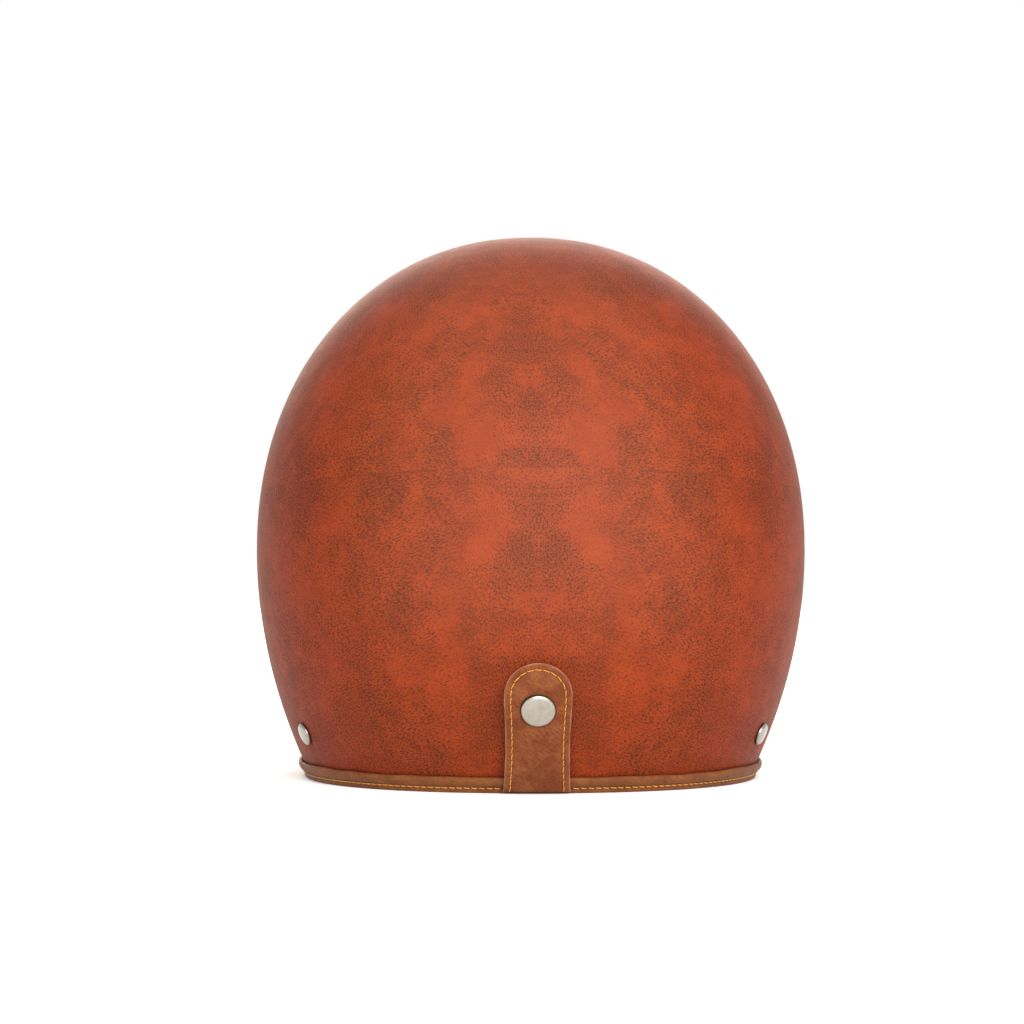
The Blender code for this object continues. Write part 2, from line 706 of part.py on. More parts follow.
def make_tab_snap(frame):
    stack = snap_stack()
    cap_foot = stack["cap_foot"]
    profile = [
        (0.0, cap_foot + CAP_CROWN_HEIGHT),
        (CAP_RADIUS * 0.5, cap_foot + CAP_CROWN_HEIGHT * 0.92),
        (CAP_RADIUS * 0.88, cap_foot + CAP_CROWN_HEIGHT * 0.66),
        (CAP_RADIUS, cap_foot + CAP_RIM_HEIGHT),
        (CAP_RADIUS - GAP, cap_foot),
        (CAP_POST_RADIUS, cap_foot),
        (CAP_POST_RADIUS, stack["post_foot"]),
        (0.0, stack["post_foot"]),
    ]
    cap = turned("tab_cap", profile, "bright_metal", frame, steps=24)
    profile = [
        (SOCKET_BORE_RADIUS, stack["socket_top"]),
        (SOCKET_RADIUS, stack["socket_top"]),
        (SOCKET_RADIUS, stack["socket_foot"] + GAP),
        (SOCKET_RADIUS - GAP, stack["socket_foot"]),
        (SOCKET_BORE_RADIUS, stack["socket_foot"]),
    ]
    socket = turned("tab_socket", profile, "bright_metal", frame, closed=True)
    return [cap, socket]


# Chin strap anchors

def make_rivet(name, frame):
    tail_top = PLATE_DEPTH + PLATE_THICKNESS + GAP
    profile = [
        (0.0, GAP + RIVET_HEAD_HEIGHT),
        (RIVET_HEAD_RADIUS * 0.45, GAP + RIVET_HEAD_HEIGHT * 0.93),
        (RIVET_HEAD_RADIUS * 0.84, GAP + RIVET_HEAD_HEIGHT * 0.65),
        (RIVET_HEAD_RADIUS, GAP + RIVET_RIM_HEIGHT),
        (RIVET_HEAD_RADIUS, GAP),
        (RIVET_SHANK_RADIUS, GAP),
        (RIVET_SHANK_RADIUS, -tail_top),
        (RIVET_TAIL_RADIUS, -tail_top),
        (RIVET_TAIL_RADIUS - GAP, -tail_top - RIVET_TAIL_HEIGHT),
        (0.0, -tail_top - RIVET_TAIL_HEIGHT),
    ]
    turned(name, profile, "bright_metal", frame, steps=20)


def make_spacer(name, frame):
    top = -wall_at(frame, SPACER_RADIUS) - 3 * GAP
    foot = -PLATE_DEPTH + GAP
    bore = RIVET_SHANK_RADIUS + SHANK_CLEARANCE
    profile = [(bore, top), (SPACER_RADIUS, top), (SPACER_RADIUS, foot), (bore, foot)]
    turned(name, profile, "black_plastic", frame, closed=True)


def make_anchor_plate(name, frame):
    """A steel plate that hangs from the rivet, with a slot for the webbing."""
    foot = -(SLOT_TOP + SLOT_HEIGHT + SLOT_BAR)
    arc = [math.radians(a) for a in range(0, 181, 20)]
    head = [(PLATE_HEAD_RADIUS * math.cos(a), PLATE_HEAD_RADIUS * math.sin(a)) for a in arc]
    corner = SLOT_BAR / 2
    sides = [
        (-PLATE_HALF_WIDTH, -PLATE_SHOULDER),
        (-PLATE_HALF_WIDTH, foot + corner),
        (-PLATE_HALF_WIDTH + corner, foot),
        (PLATE_HALF_WIDTH - corner, foot),
        (PLATE_HALF_WIDTH, foot + corner),
        (PLATE_HALF_WIDTH, -PLATE_SHOULDER),
    ]
    outline = head + sides
    levels = (-PLATE_DEPTH, -PLATE_DEPTH - PLATE_THICKNESS)
    plate = skin(name, [[(x, y, z) for x, y in outline] for z in levels], "bright_metal", frame)
    low, high = levels[1] - CUT_OVERRUN, levels[0] + CUT_OVERRUN
    bore = plug(name + "_bore", RIVET_SHANK_RADIUS + SHANK_CLEARANCE, low, high, frame)
    half = WEBBING_WIDTH / 2 + GAP
    slot = block(name + "_slot", (-half, -SLOT_TOP - SLOT_HEIGHT, low), (half, -SLOT_TOP, high), frame)
    cut(plate, cutter_of(name + "_cuts", [bore, slot]))
    return plate


def strap_hinge(frame):
    """Where the webbing turns inwards: the hinge point, its level axis and the level way inwards."""
    level = frame.col[0].xyz
    up = frame.col[1].xyz
    start = frame.translation - frame.col[2].xyz * STRAP_HINGE_DEPTH
    height = STRAP_FLOOR_GAP + STRAP_THICKNESS + STRAP_HINGE_RISE
    down = (start.z - height) / up.z
    point = start - up * down
    inward = Vector((0, 0, 1)).cross(level)
    return point, level, inward, down


def make_strap_root(name, frame):
    """The sewn loop of webbing round the plate's bar, and the tail that runs down to the rim."""
    *_, down = strap_hinge(frame)
    half = STRAP_THICKNESS / 2
    back, front = PLATE_DEPTH, PLATE_DEPTH + PLATE_THICKNESS
    bar_top, bar_foot = SLOT_TOP + SLOT_HEIGHT, SLOT_TOP + SLOT_HEIGHT + SLOT_BAR
    wall = GAP + WEBBING_THICKNESS
    tail_back, tail_front = STRAP_HINGE_DEPTH - half, STRAP_HINGE_DEPTH + half
    foot = down - STRAP_ROOT_CLEARANCE
    outline = [
        (back - wall + GAP, bar_top - wall), (front + wall - GAP, bar_top - wall),
        (front + wall, bar_top - GAP), (tail_front, bar_foot + wall),
        (tail_front, foot), (tail_back, foot),
        (tail_back, bar_foot + 2 * wall), (back - wall, bar_foot + GAP), (back - wall, bar_top - GAP),
    ]
    points = [(-g, -d) for d, g in outline]
    root = extruded(name, points, WEBBING_WIDTH / 2, "strap_webbing", frame)
    reach = WEBBING_WIDTH
    hollow = block(name + "_hollow", (-reach, -bar_foot - GAP, -front - GAP),
                   (reach, -bar_top + GAP, -back + GAP), frame)
    cut(root, cutter_of(name + "_hollow", [hollow]))
    return root


def floor_frame(frame):
    """A frame under the strap's hinge, on the surface the helmet stands on: local X level
    along the hinge, local Y the way the strap lies, local Z up."""
    point, level, inward, _ = strap_hinge(frame)
    rotation = Matrix((level, inward, Vector((0, 0, 1)))).transposed()
    return Matrix.Translation((point.x, point.y, 0.0)) @ rotation.to_4x4()


def make_anchor(word, frame):
    """The rivet and what hangs on it. Returns the empty that the strap's hinge hangs on."""
    make_rivet(f"strap_rivet_{word}", frame)
    make_spacer(f"strap_spacer_{word}", frame)
    plate = make_anchor_plate(f"anchor_plate_{word}", frame)
    root = make_strap_root(f"strap_root_{word}", frame)
    return joint_axis(f"anchor_axis_{word}", frame, [plate, root])


def strap_axis(word, frame, pieces, anchor):
    point, *_ = strap_hinge(frame)
    matrix = Matrix.Translation(point) @ floor_frame(frame).to_3x3().to_4x4()
    return joint_axis(f"strap_axis_{word}", matrix, pieces, anchor)


def run_to(frame, from_middle):
    """Length of a flat strap from its hinge to a distance from the helmet's middle plane."""
    return (abs(frame.translation.x) - from_middle) / abs(frame.col[1].x)


def make_short_strap(frame):
    """The short strap: a flat run that ends in a sewn loop for the two rings."""
    low, high = STRAP_FLOOR_GAP, STRAP_FLOOR_GAP + STRAP_THICKNESS
    bar_room = 4 * RING_WIRE_RADIUS + 2 * GAP
    loop_top = low + 2 * WEBBING_THICKNESS + bar_room + GAP
    start = run_to(frame, RING_LOOP_TO_MIDDLE)
    end = start + RING_LOOP_LENGTH
    run_in = 2 * STRAP_THICKNESS
    outline = [
        (0.0, low), (end - GAP, low), (end + WEBBING_THICKNESS, low + WEBBING_THICKNESS),
        (end + WEBBING_THICKNESS, loop_top - WEBBING_THICKNESS), (end - GAP, loop_top),
        (start, loop_top), (start - run_in, high + GAP), (start - 2 * run_in, high), (0.0, high),
    ]
    strap = extruded("short_strap", outline, WEBBING_WIDTH / 2, "strap_webbing", frame)
    reach = WEBBING_WIDTH
    floor = low + WEBBING_THICKNESS
    hollow = block("ring_hollow", (-reach, start, floor), (reach, end, floor + bar_room + GAP), frame)
    cut(strap, cutter_of("ring_hollow", [hollow]))
    return strap


def ring_bar(frame, upper):
    """Local Y and Z of a ring's straight bar in the short strap's frame."""
    floor = STRAP_FLOOR_GAP + WEBBING_THICKNESS
    height = floor + GAP + RING_WIRE_RADIUS + (2 * RING_WIRE_RADIUS + GAP if upper else 0.0)
    return run_to(frame, RING_LOOP_TO_MIDDLE) + RING_LOOP_LENGTH / 2, height


def make_ring(name, frame, upper):
    """A D-shaped wire ring, tilted so that its nose lies low."""
    arc_steps, bar_steps = 12, 4
    path = [(RING_HALF_WIDTH * (2 * k / bar_steps - 1), 0.0) for k in range(bar_steps + 1)]
    reach = RING_REACH - RING_STRAIGHT
    for k in range(arc_steps + 1):
        angle = math.pi * k / arc_steps
        path.append((RING_HALF_WIDTH * math.cos(angle), RING_STRAIGHT + reach * math.sin(angle)))
    path = np.array(path)
    ahead = np.roll(path, -1, axis=0) - np.roll(path, 1, axis=0)
    ahead /= np.linalg.norm(ahead, axis=1, keepdims=True)
    sideways = np.stack([ahead[:, 1], -ahead[:, 0]], axis=1)
    wire_steps = 8
    y, z = ring_bar(frame, upper)
    place = frame @ Matrix.Translation((0.0, y, z)) @ Matrix.Rotation(math.radians(-RING_TILT), 4, "X")
    loops = []
    for i in range(wire_steps):
        angle = math.tau * i / wire_steps
        flat = path + sideways * RING_WIRE_RADIUS * math.cos(angle)
        rise = np.full((len(path), 1), RING_WIRE_RADIUS * math.sin(angle))
        loops.append(np.hstack([flat, rise]))
    verts = [tuple(point) for loop in loops for point in loop]
    count = len(path)
    faces = []
    for i in range(wire_steps):
        for k in range(count):
            j = (k + 1) % count
            low, high = i * count, (i + 1) % wire_steps * count
            faces.append((low + k, low + j, high + j, high + k))
    mesh = bpy.data.meshes.new(name)
    mesh.from_pydata(verts, [], faces)
    return finished(name, mesh, "bright_metal", place)


def fold_axis_height():
    return STRAP_FLOOR_GAP + STRAP_THICKNESS + FOLD_RISE


def keeper_place(frame):
    return frame @ Matrix.Translation((0.0, STRAP_END_SETBACK + KEEPER_SETBACK, 0.0))


def make_long_strap(frame):
    """The long strap's flat run, with the keeper's stud on it."""
    low, high = STRAP_FLOOR_GAP, STRAP_FLOOR_GAP + STRAP_THICKNESS
    length = run_to(frame, -FOLD_PAST_MIDDLE)
    run = [(0.0, low), (length, low), (length, high), (0.0, high)]
    strap = extruded("long_strap", run, WEBBING_WIDTH / 2, "strap_webbing", frame)
    flange = high + GAP
    post = flange + KEEPER_FLANGE_HEIGHT
    profile = [
        (0.0, flange), (KEEPER_FLANGE_RADIUS, flange), (KEEPER_FLANGE_RADIUS, post),
        (KEEPER_POST_RADIUS, post), (KEEPER_POST_RADIUS, post + KEEPER_POST_HEIGHT),
        (0.0, post + KEEPER_POST_HEIGHT),
    ]
    stud = turned("keeper_stud", profile, "bright_metal", keeper_place(frame))
    return [strap, stud]


def make_strap_end(frame):
    """The long strap's end, folded back on the run, with the keeper's cap through it."""
    length = run_to(frame, -FOLD_PAST_MIDDLE)
    foot = fold_axis_height() + FOLD_RISE
    top = foot + STRAP_THICKNESS
    tip = STRAP_END_SETBACK
    corner = WEBBING_WIDTH / 4
    half = WEBBING_WIDTH / 2
    outline = [(-half, length), (-half, tip + corner), (-half + corner, tip),
               (half - corner, tip), (half, tip + corner), (half, length)]
    rings = [[(x, y, z) for x, y in outline] for z in (foot, top)]
    end = skin("strap_end", rings, "strap_webbing", frame)
    keeper = keeper_place(frame)
    hole = plug("keeper_hole", KEEPER_HOLE_RADIUS, foot - CUT_OVERRUN, top + CUT_OVERRUN, keeper)
    cut(end, cutter_of("keeper_hole", [hole]))
    post = STRAP_FLOOR_GAP + STRAP_THICKNESS + GAP + KEEPER_FLANGE_HEIGHT
    tube_foot, cap = post + GAP, top + GAP
    roof = post + KEEPER_POST_HEIGHT + GAP
    profile = [
        (0.0, cap + KEEPER_CAP_HEIGHT), (KEEPER_CAP_RADIUS * 0.8, cap + KEEPER_CAP_HEIGHT * 0.8),
        (KEEPER_CAP_RADIUS, cap), (KEEPER_TUBE_RADIUS, cap), (KEEPER_TUBE_RADIUS, tube_foot),
        (KEEPER_TUBE_BORE, tube_foot), (KEEPER_TUBE_BORE, roof), (0.0, roof),
    ]
    return [end, turned("keeper_cap", profile, "bright_metal", keeper)]


# Cheek blocks and pads

def cheek_frame(side):
    """A frame on the cheek block's flat inner face: local Z inwards, X towards the face, Y up."""
    azimuth = math.radians(CHEEK_AZIMUTH)
    out = surface_normal(azimuth, CHEEK_HEIGHT)
    origin = surface_point(azimuth, CHEEK_HEIGHT) - out * CHEEK_FACE_DEPTH
    pitch, yaw = math.radians(CHEEK_PITCH), math.radians(CHEEK_YAW)
    inward = Vector((-math.cos(pitch) * math.cos(yaw), math.sin(yaw), math.sin(pitch)))
    front = Vector((0, 0, 1)).cross(inward).normalized()
    up = inward.cross(front)
    origin, inward, front, up = (
        Vector((v[0] * side, v[1], v[2])) for v in (origin, inward, front, up)
    )
    return origin, front, up, inward


def rounded_outline(half_length, half_height, offset, steps=32):
    """A soft-cornered outline, as (towards the face, up) pairs."""
    points = []
    for k in range(steps):
        angle = math.tau * k / steps
        c, s = math.cos(angle), math.sin(angle)
        x = math.copysign(abs(c) ** (2 / PAD_POWER), c) * half_length
        y = math.copysign(abs(s) ** (2 / PAD_POWER), s) * half_height
        points.append((x + offset, y))
    return np.array(points)


def cheek_point(cheek, across, up, inward):
    origin, front_axis, up_axis, in_axis = cheek
    return np.array(origin + front_axis * across + up_axis * up + in_axis * inward)


def stacked_pad(name, cheek, outline, offset, layers, material):
    """Rings of an outline: each layer is a share of the outline and a function of its points
    that gives the distance inwards."""
    rings = []
    for share, distance in layers:
        points = (outline - (offset, 0.0)) * share + (offset, 0.0)
        rings.append([cheek_point(cheek, x, y, distance(x, y)) for x, y in points])
    poles = [cheek_point(cheek, offset, 0.0, layers[k][1](offset, 0.0)) for k in (0, -1)]
    return skin(name, rings, material, poles=poles)


def make_cheek_block(name, cheek):
    """A foam block that fills the space between the shell and the flat face of the cheek pad."""
    side = math.copysign(1.0, cheek[0].x)

    def to_shell(x, y):
        start = cheek_point(cheek, x, y, 0.0) * (side, 1.0, 1.0)
        out = np.array(-cheek[3]) * (side, 1.0, 1.0)
        return -float(ray_hit(start, out, SHELL_THICKNESS + LINER_GAP))

    outline = rounded_outline(BLOCK_HALF_LENGTH, BLOCK_HALF_HEIGHT, BLOCK_CENTRE_OFFSET)
    layers = [(share, to_shell) for share in (0.33, 0.66, 1.0)]
    layers += [(share, lambda x, y: 0.0) for share in (1.0, 0.5)]
    stacked_pad(name, cheek, outline, BLOCK_CENTRE_OFFSET, layers, "impact_foam")


def cheek_snaps():
    for label, (along, up) in CHEEK_STUD_SHARES.items():
        yield label, BLOCK_CENTRE_OFFSET + along * BLOCK_HALF_LENGTH, up * BLOCK_HALF_HEIGHT


def snap_frame_on(cheek, x, y):
    origin = Vector(cheek_point(cheek, x, y, 0.0))
    return frame_at(origin, cheek[3])


def make_cheek_snaps(word, cheek):
    base = GAP + CHEEK_STUD_BASE_HEIGHT
    board_back = base + GAP
    post_top = board_back + BOARD_THICKNESS - GAP
    profile = [
        (0.0, GAP), (CHEEK_STUD_BASE_RADIUS, GAP), (CHEEK_STUD_BASE_RADIUS, base),
        (CHEEK_STUD_POST_RADIUS, base), (CHEEK_STUD_POST_RADIUS, post_top), (0.0, post_top),
    ]
    for label, x, y in cheek_snaps():
        turned(f"cheek_stud_{label}_{word}", profile, "black_plastic", snap_frame_on(cheek, x, y))


def make_cheek_pad(word, cheek):
    board_back = GAP + CHEEK_STUD_BASE_HEIGHT + GAP
    board_front = board_back + BOARD_THICKNESS
    outline = rounded_outline(PAD_HALF_LENGTH - BOARD_INSET, PAD_HALF_HEIGHT - BOARD_INSET, PAD_CENTRE_OFFSET)
    layers = [(0.5, lambda x, y: board_back), (1.0, lambda x, y: board_back),
              (1.0, lambda x, y: board_front), (0.5, lambda x, y: board_front)]
    board = stacked_pad(f"cheek_board_{word}", cheek, outline, PAD_CENTRE_OFFSET, layers, "black_plastic")
    holes = []
    for label, x, y in cheek_snaps():
        radius = CHEEK_STUD_POST_RADIUS + SHANK_CLEARANCE
        frame = snap_frame_on(cheek, x, y)
        holes.append(plug(f"{word}_{label}", radius, 0.0, board_front + CUT_OVERRUN, frame))
    cut(board, cutter_of(f"board_holes_{word}", holes))

    outline = rounded_outline(PAD_HALF_LENGTH, PAD_HALF_HEIGHT, PAD_CENTRE_OFFSET)
    back = board_front + GAP
    rise = PAD_CROWN - PAD_EDGE_HEIGHT
    layers = [(0.5, lambda x, y: back), (0.96, lambda x, y: back)]
    for share, crown_share in ((1.0, 0.0), (0.97, 0.3), (0.88, 0.6), (0.7, 0.84), (0.4, 0.97)):
        if crown_share == 0.0:
            layers.append((share, lambda x, y: back + PAD_EDGE_HEIGHT * 0.45))
        layers.append((share, lambda x, y, c=crown_share: back + PAD_EDGE_HEIGHT + rise * c))
    pad = stacked_pad(f"cheek_pad_{word}", cheek, outline, PAD_CENTRE_OFFSET, layers, "pad_leather")
    joint_axis(f"cheek_pad_axis_{word}", frame_at(cheek[0], cheek[3]), [board, pad])


def main():
    clear_scene()
    edge_path = spline_path(SHELL_EDGE_SHARES, EDGE_STEPS)
    liner_path = spline_path(LINER_EDGE_SHARES, LINER_STEPS)

    brow_frames = {
        word: shell_frame(turn * BROW_STUD_AZIMUTH, BROW_STUD_HEIGHT)
        for word, turn in (("left", 1), ("centre", 0), ("right", -1))
    }
    tab_frame = shell_frame(180.0, TAB_SNAP_HEIGHT)
    rivet_frames = {
        "left": shell_frame(RIVET_AZIMUTH, RIVET_HEIGHT),
        "right": shell_frame(-RIVET_AZIMUTH, RIVET_HEIGHT),
    }

    shank_hole = SHANK_RADIUS + SHANK_CLEARANCE
    holes = [(frame, shank_hole) for frame in [*brow_frames.values(), tab_frame]]
    holes += [(frame, RIVET_SHANK_RADIUS + SHANK_CLEARANCE) for frame in rivet_frames.values()]
    make_shell(edge_path, holes)
    make_trim(edge_path)
    make_liners(liner_path, list(brow_frames.values()))
    make_neck_roll()

    for word, frame in brow_frames.items():
        make_stud(f"brow_stud_{word}", frame, BROW_STUD_RADIUS - GAP, BROW_STUD_RADIUS, BROW_STUD_LENGTH)
        make_washer(f"brow_washer_{word}", frame)
    make_stud("tab_stud", tab_frame, STUD_POST_RADIUS, STUD_HEAD_RADIUS, STUD_HEIGHT)
    make_washer("tab_washer", tab_frame)
    joint_axis("tab_axis", tab_axis(), [make_tab(tab_frame), *make_tab_snap(tab_frame)])

    anchors = {word: make_anchor(word, frame) for word, frame in rivet_frames.items()}
    short_frame = floor_frame(rivet_frames["left"])
    short_axis = strap_axis("left", rivet_frames["left"], [make_short_strap(short_frame)], anchors["left"])
    for name, upper in (("ring_lower", False), ("ring_upper", True)):
        hang(make_ring(name, short_frame, upper), short_axis)
    long_frame = floor_frame(rivet_frames["right"])
    long_axis = strap_axis("right", rivet_frames["right"], make_long_strap(long_frame), anchors["right"])
    run = run_to(long_frame, -FOLD_PAST_MIDDLE)
    fold = long_frame @ Matrix.Translation((0.0, run, fold_axis_height()))
    joint_axis("fold_axis", fold, make_strap_end(long_frame), long_axis)

    for word, side in (("left", 1.0), ("right", -1.0)):
        cheek = cheek_frame(side)
        make_cheek_block(f"cheek_block_{word}", cheek)
        make_cheek_snaps(word, cheek)
        make_cheek_pad(word, cheek)


main()
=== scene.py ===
import math

import bmesh
import bpy
import numpy as np
from mathutils import Matrix, Vector
from mathutils.bvhtree import BVHTree


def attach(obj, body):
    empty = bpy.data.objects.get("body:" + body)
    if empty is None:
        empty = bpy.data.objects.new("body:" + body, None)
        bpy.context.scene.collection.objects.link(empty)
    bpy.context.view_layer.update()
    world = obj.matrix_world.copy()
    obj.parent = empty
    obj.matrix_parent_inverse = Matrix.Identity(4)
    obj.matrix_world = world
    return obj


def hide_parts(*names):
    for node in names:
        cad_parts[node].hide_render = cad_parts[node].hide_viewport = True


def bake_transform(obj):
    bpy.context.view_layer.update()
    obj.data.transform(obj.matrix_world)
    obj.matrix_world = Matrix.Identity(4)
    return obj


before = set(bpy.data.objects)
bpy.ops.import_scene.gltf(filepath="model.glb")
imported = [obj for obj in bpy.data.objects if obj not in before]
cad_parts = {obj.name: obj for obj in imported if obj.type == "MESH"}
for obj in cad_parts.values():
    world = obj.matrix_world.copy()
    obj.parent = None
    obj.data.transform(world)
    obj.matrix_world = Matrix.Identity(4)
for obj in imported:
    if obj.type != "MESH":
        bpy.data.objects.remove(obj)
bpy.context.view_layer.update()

# The helmet stands on its rim at z = 0 and faces -Y, so +X is the wearer's left.
# Lengths are in millimetres times MM, and angles round the crown start at the front.
MM = 0.001

# The shell's surface, as the CAD source gives it
HALF_WIDTH, FRONT_REACH, REAR_REACH = 124 * MM, 134 * MM, 150 * MM
WIDEST, CROWN_RISE, CROWN_Y = 102 * MM, 142 * MM, -8 * MM
SIDE_TAPER, FRONT_TAPER, REAR_TAPER = 213 * MM, 200 * MM, 142 * MM
DOME_POWER, PLAN_POWER = 2.1, 2.2
WALL, EDGE_HEIGHT, BROW = 4 * MM, 1.9 * MM, 130 * MM
GAP, LINER_GAP = 0.3 * MM, 1.2 * MM
FOAM_DEPTH = WALL + LINER_GAP
FOAM_FACE = FOAM_DEPTH + 29.5 * MM
LINER_BACK = FOAM_FACE + 0.9 * MM
LINER_FACE = LINER_BACK + 8.7 * MM
CENTRE = np.array([0.0, CROWN_Y, WIDEST])
POLE = np.array([0.0, math.sin(math.radians(40)), math.cos(math.radians(40))])
SHELL_EDGE = (
    (0, 1.0), (20, 1.0), (38, 0.985), (52, 0.9), (62, 0.72), (66, 0.54), (65, 0.38),
    (62, 0.25), (60, 0.14), (60, 0.05), (64, 0.0), (72, 0.0), (84, 0.0), (100, 0.0),
    (118, 0.0), (139, 0.0), (160, 0.0), (180, 0.0),
)
LINER_EDGE = (
    (0, 1.075), (20, 1.075), (38, 1.06), (54, 0.99), (66, 0.87), (80, 0.785), (97, 0.755),
    (109, 0.73), (119, 0.55), (129, 0.38), (145, 0.355), (162, 0.355), (180, 0.355),
)

# Where the rivets with the strap anchors, and the brow studs, sit on the shell
SIDES = (("left", 1.0), ("right", -1.0))
ANCHOR_TURN, ANCHOR_HEIGHT = 120.0, 22 * MM
BROW_STUD_TURN, BROW_STUD_HEIGHT = 36.0, 152 * MM

# The rear tab, in millimetres: its top, the height of its round part and of its press stud,
# and then its half width, foot, standoff and thickness
TAB_TOP, TAB_ROUND, TAB_SNAP = 56.5, 13.4, 39.0
TAB_HALF, TAB_FOOT, TAB_OFF, TAB_THICK = 14.3, 0.8, 4.1, 2.66


def plan_sizes(height, depth):
    """Half width, front reach and rear reach of the level section at a height and depth."""
    rise = np.asarray(height, float) - WIDEST
    up = np.clip(rise / (CROWN_RISE - depth), 0.0, 1.0)
    dome = (1.0 - up ** DOME_POWER) ** (1.0 / DOME_POWER)
    drop = np.minimum(rise, 0.0) ** 2 / 2
    sizes = ((HALF_WIDTH, SIDE_TAPER), (FRONT_REACH, FRONT_TAPER), (REAR_REACH, REAR_TAPER))
    return [(size - depth) * dome - drop / radius for size, radius in sizes]


def unit(vectors):
    return vectors / np.linalg.norm(vectors, axis=-1, keepdims=True)


def walked(path, closed):
    """The distance walked to each point of a path, and the points, with the first one again
    at the end of a closed path."""
    points = np.vstack([path, path[:1]]) if closed else path
    steps = np.linalg.norm(np.diff(points, axis=0), axis=1)
    return np.concatenate([[0.0], np.cumsum(steps)]), points


def surface_point(azimuth, height, depth=0.0):
    azimuth, height = np.broadcast_arrays(np.asarray(azimuth, float), np.asarray(height, float))
    half_width, front, rear = plan_sizes(height, depth)
    across = np.abs(np.sin(azimuth)) / half_width
    along = np.abs(np.cos(azimuth)) / np.where(np.cos(azimuth) > 0, front, rear)
    radius = (across ** PLAN_POWER + along ** PLAN_POWER) ** (-1.0 / PLAN_POWER)
    level = (radius * np.sin(azimuth), CROWN_Y - radius * np.cos(azimuth))
    return np.stack([*level, height + 0.0 * radius], axis=-1)


def surface_normal(azimuth, height, depth=0.0):
    turn, climb = math.radians(0.2), GAP
    after, before = (surface_point(azimuth + t, height, depth) for t in (turn, -turn))
    above, below = (surface_point(azimuth, height + c, depth) for c in (climb, -climb))
    return unit(np.cross(after - before, above - below))


def ray_hit(origins, directions, depth):
    """Distance along each ray to the surface of that depth, found by halving."""
    near, far = np.zeros(directions.shape[:-1]), np.full(directions.shape[:-1], 0.3)
    for _ in range(36):
        middle = (near + far) / 2
        points = origins + directions * middle[..., None]
        half_width, front, rear = plan_sizes(points[..., 2], depth)
        reach = np.where(points[..., 1] < CROWN_Y, front, rear)
        across = np.abs(points[..., 0]) / np.maximum(half_width, GAP)
        along = np.abs(points[..., 1] - CROWN_Y) / np.maximum(reach, GAP)
        over = points[..., 2] > WIDEST + CROWN_RISE - depth
        beyond = (across ** PLAN_POWER + along ** PLAN_POWER > 1.0) | over
        far, near = np.where(beyond, middle, far), np.where(beyond, near, middle)
    return near


def on_surface(directions, depth):
    return CENTRE + directions * ray_hit(CENTRE, directions, depth)[..., None]


def pole_points(*depths):
    """The points over the pole that close a layer's skins at some depths."""
    return [on_surface(POLE[None], depth)[0] for depth in depths]


def edge_path(shares, steps):
    """Azimuths and heights, evenly spaced, of the closed spline along a half polygon and its
    mirror image."""
    half = [(math.radians(a), EDGE_HEIGHT + s * (BROW - EDGE_HEIGHT)) for a, s in shares]
    control = np.array(half + [(math.tau - a, h) for a, h in reversed(half[1:-1])])
    count = len(control)
    turns = np.array([math.tau, 0.0])
    fine = []
    for k in range(count):
        window = [control[i % count] + turns * (i // count) for i in range(k - 1, k + 3)]
        for t in np.arange(24) / 24:
            second = 3 * t ** 3 - 6 * t ** 2 + 4
            third = -3 * t ** 3 + 3 * t ** 2 + 3 * t + 1
            basis = ((1 - t) ** 3, second, third, t ** 3)
            fine.append(sum(b * w for b, w in zip(basis, window)) / 6)
    fine = np.array(fine + [fine[0] + turns])
    distance, _ = walked(surface_point(fine[:, 0], fine[:, 1]), False)
    wanted = np.arange(steps) / steps * distance[-1]
    return np.interp(wanted, distance, fine[:, 0]), np.interp(wanted, distance, fine[:, 1])


def layer_ring(path, depth, share=1.0, beyond=0.0):
    """One ring of a layer: a share of the way from the pole to the edge, and then a distance
    beyond."""
    azimuth, height = path
    ends = unit(surface_point(azimuth, height) - depth * surface_normal(azimuth, height) - CENTRE)
    angle = np.arccos(np.clip(ends @ POLE, -1.0, 1.0))
    if beyond:
        share = share + beyond / (angle * ray_hit(CENTRE, ends, depth))
    share, angle = np.broadcast_to(share, angle.shape)[:, None], angle[:, None]
    ways = np.sin((1 - share) * angle) * POLE + np.sin(share * angle) * ends
    return on_surface(ways / np.sin(angle), depth)


def shell_frame(azimuth_deg, height):
    """A frame on the shell: local Z out, local X level and local Y up the surface."""
    azimuth = math.radians(azimuth_deg)
    out = Vector(surface_normal(azimuth, height)).normalized()
    level = Vector((0, 0, 1)).cross(out).normalized()
    rotation = Matrix((level, out.cross(level), out)).transposed().to_4x4()
    return Matrix.Translation(Vector(surface_point(azimuth, height))) @ rotation


def ripple(distance, period, seed):
    """A steady waver between about -1 and 1 along a distance."""
    parts = ((1.0, 1.0), (0.6, 2.31), (0.4, 4.07), (0.25, 7.13))
    waves = (a * np.sin(math.tau * f * distance / period + seed * (1.7 + f)) for a, f in parts)
    return sum(waves) / 1.6


# Finishes: sockets that do sums, and one book of nodes for each finish

def sum_of(operation, turned=False):
    """A method of Wire for one kind of sum. Turned, the other value comes first."""
    def method(wire, other):
        values = (other, wire) if turned else (wire, other)
        return wire.math(operation, *values)

    return method


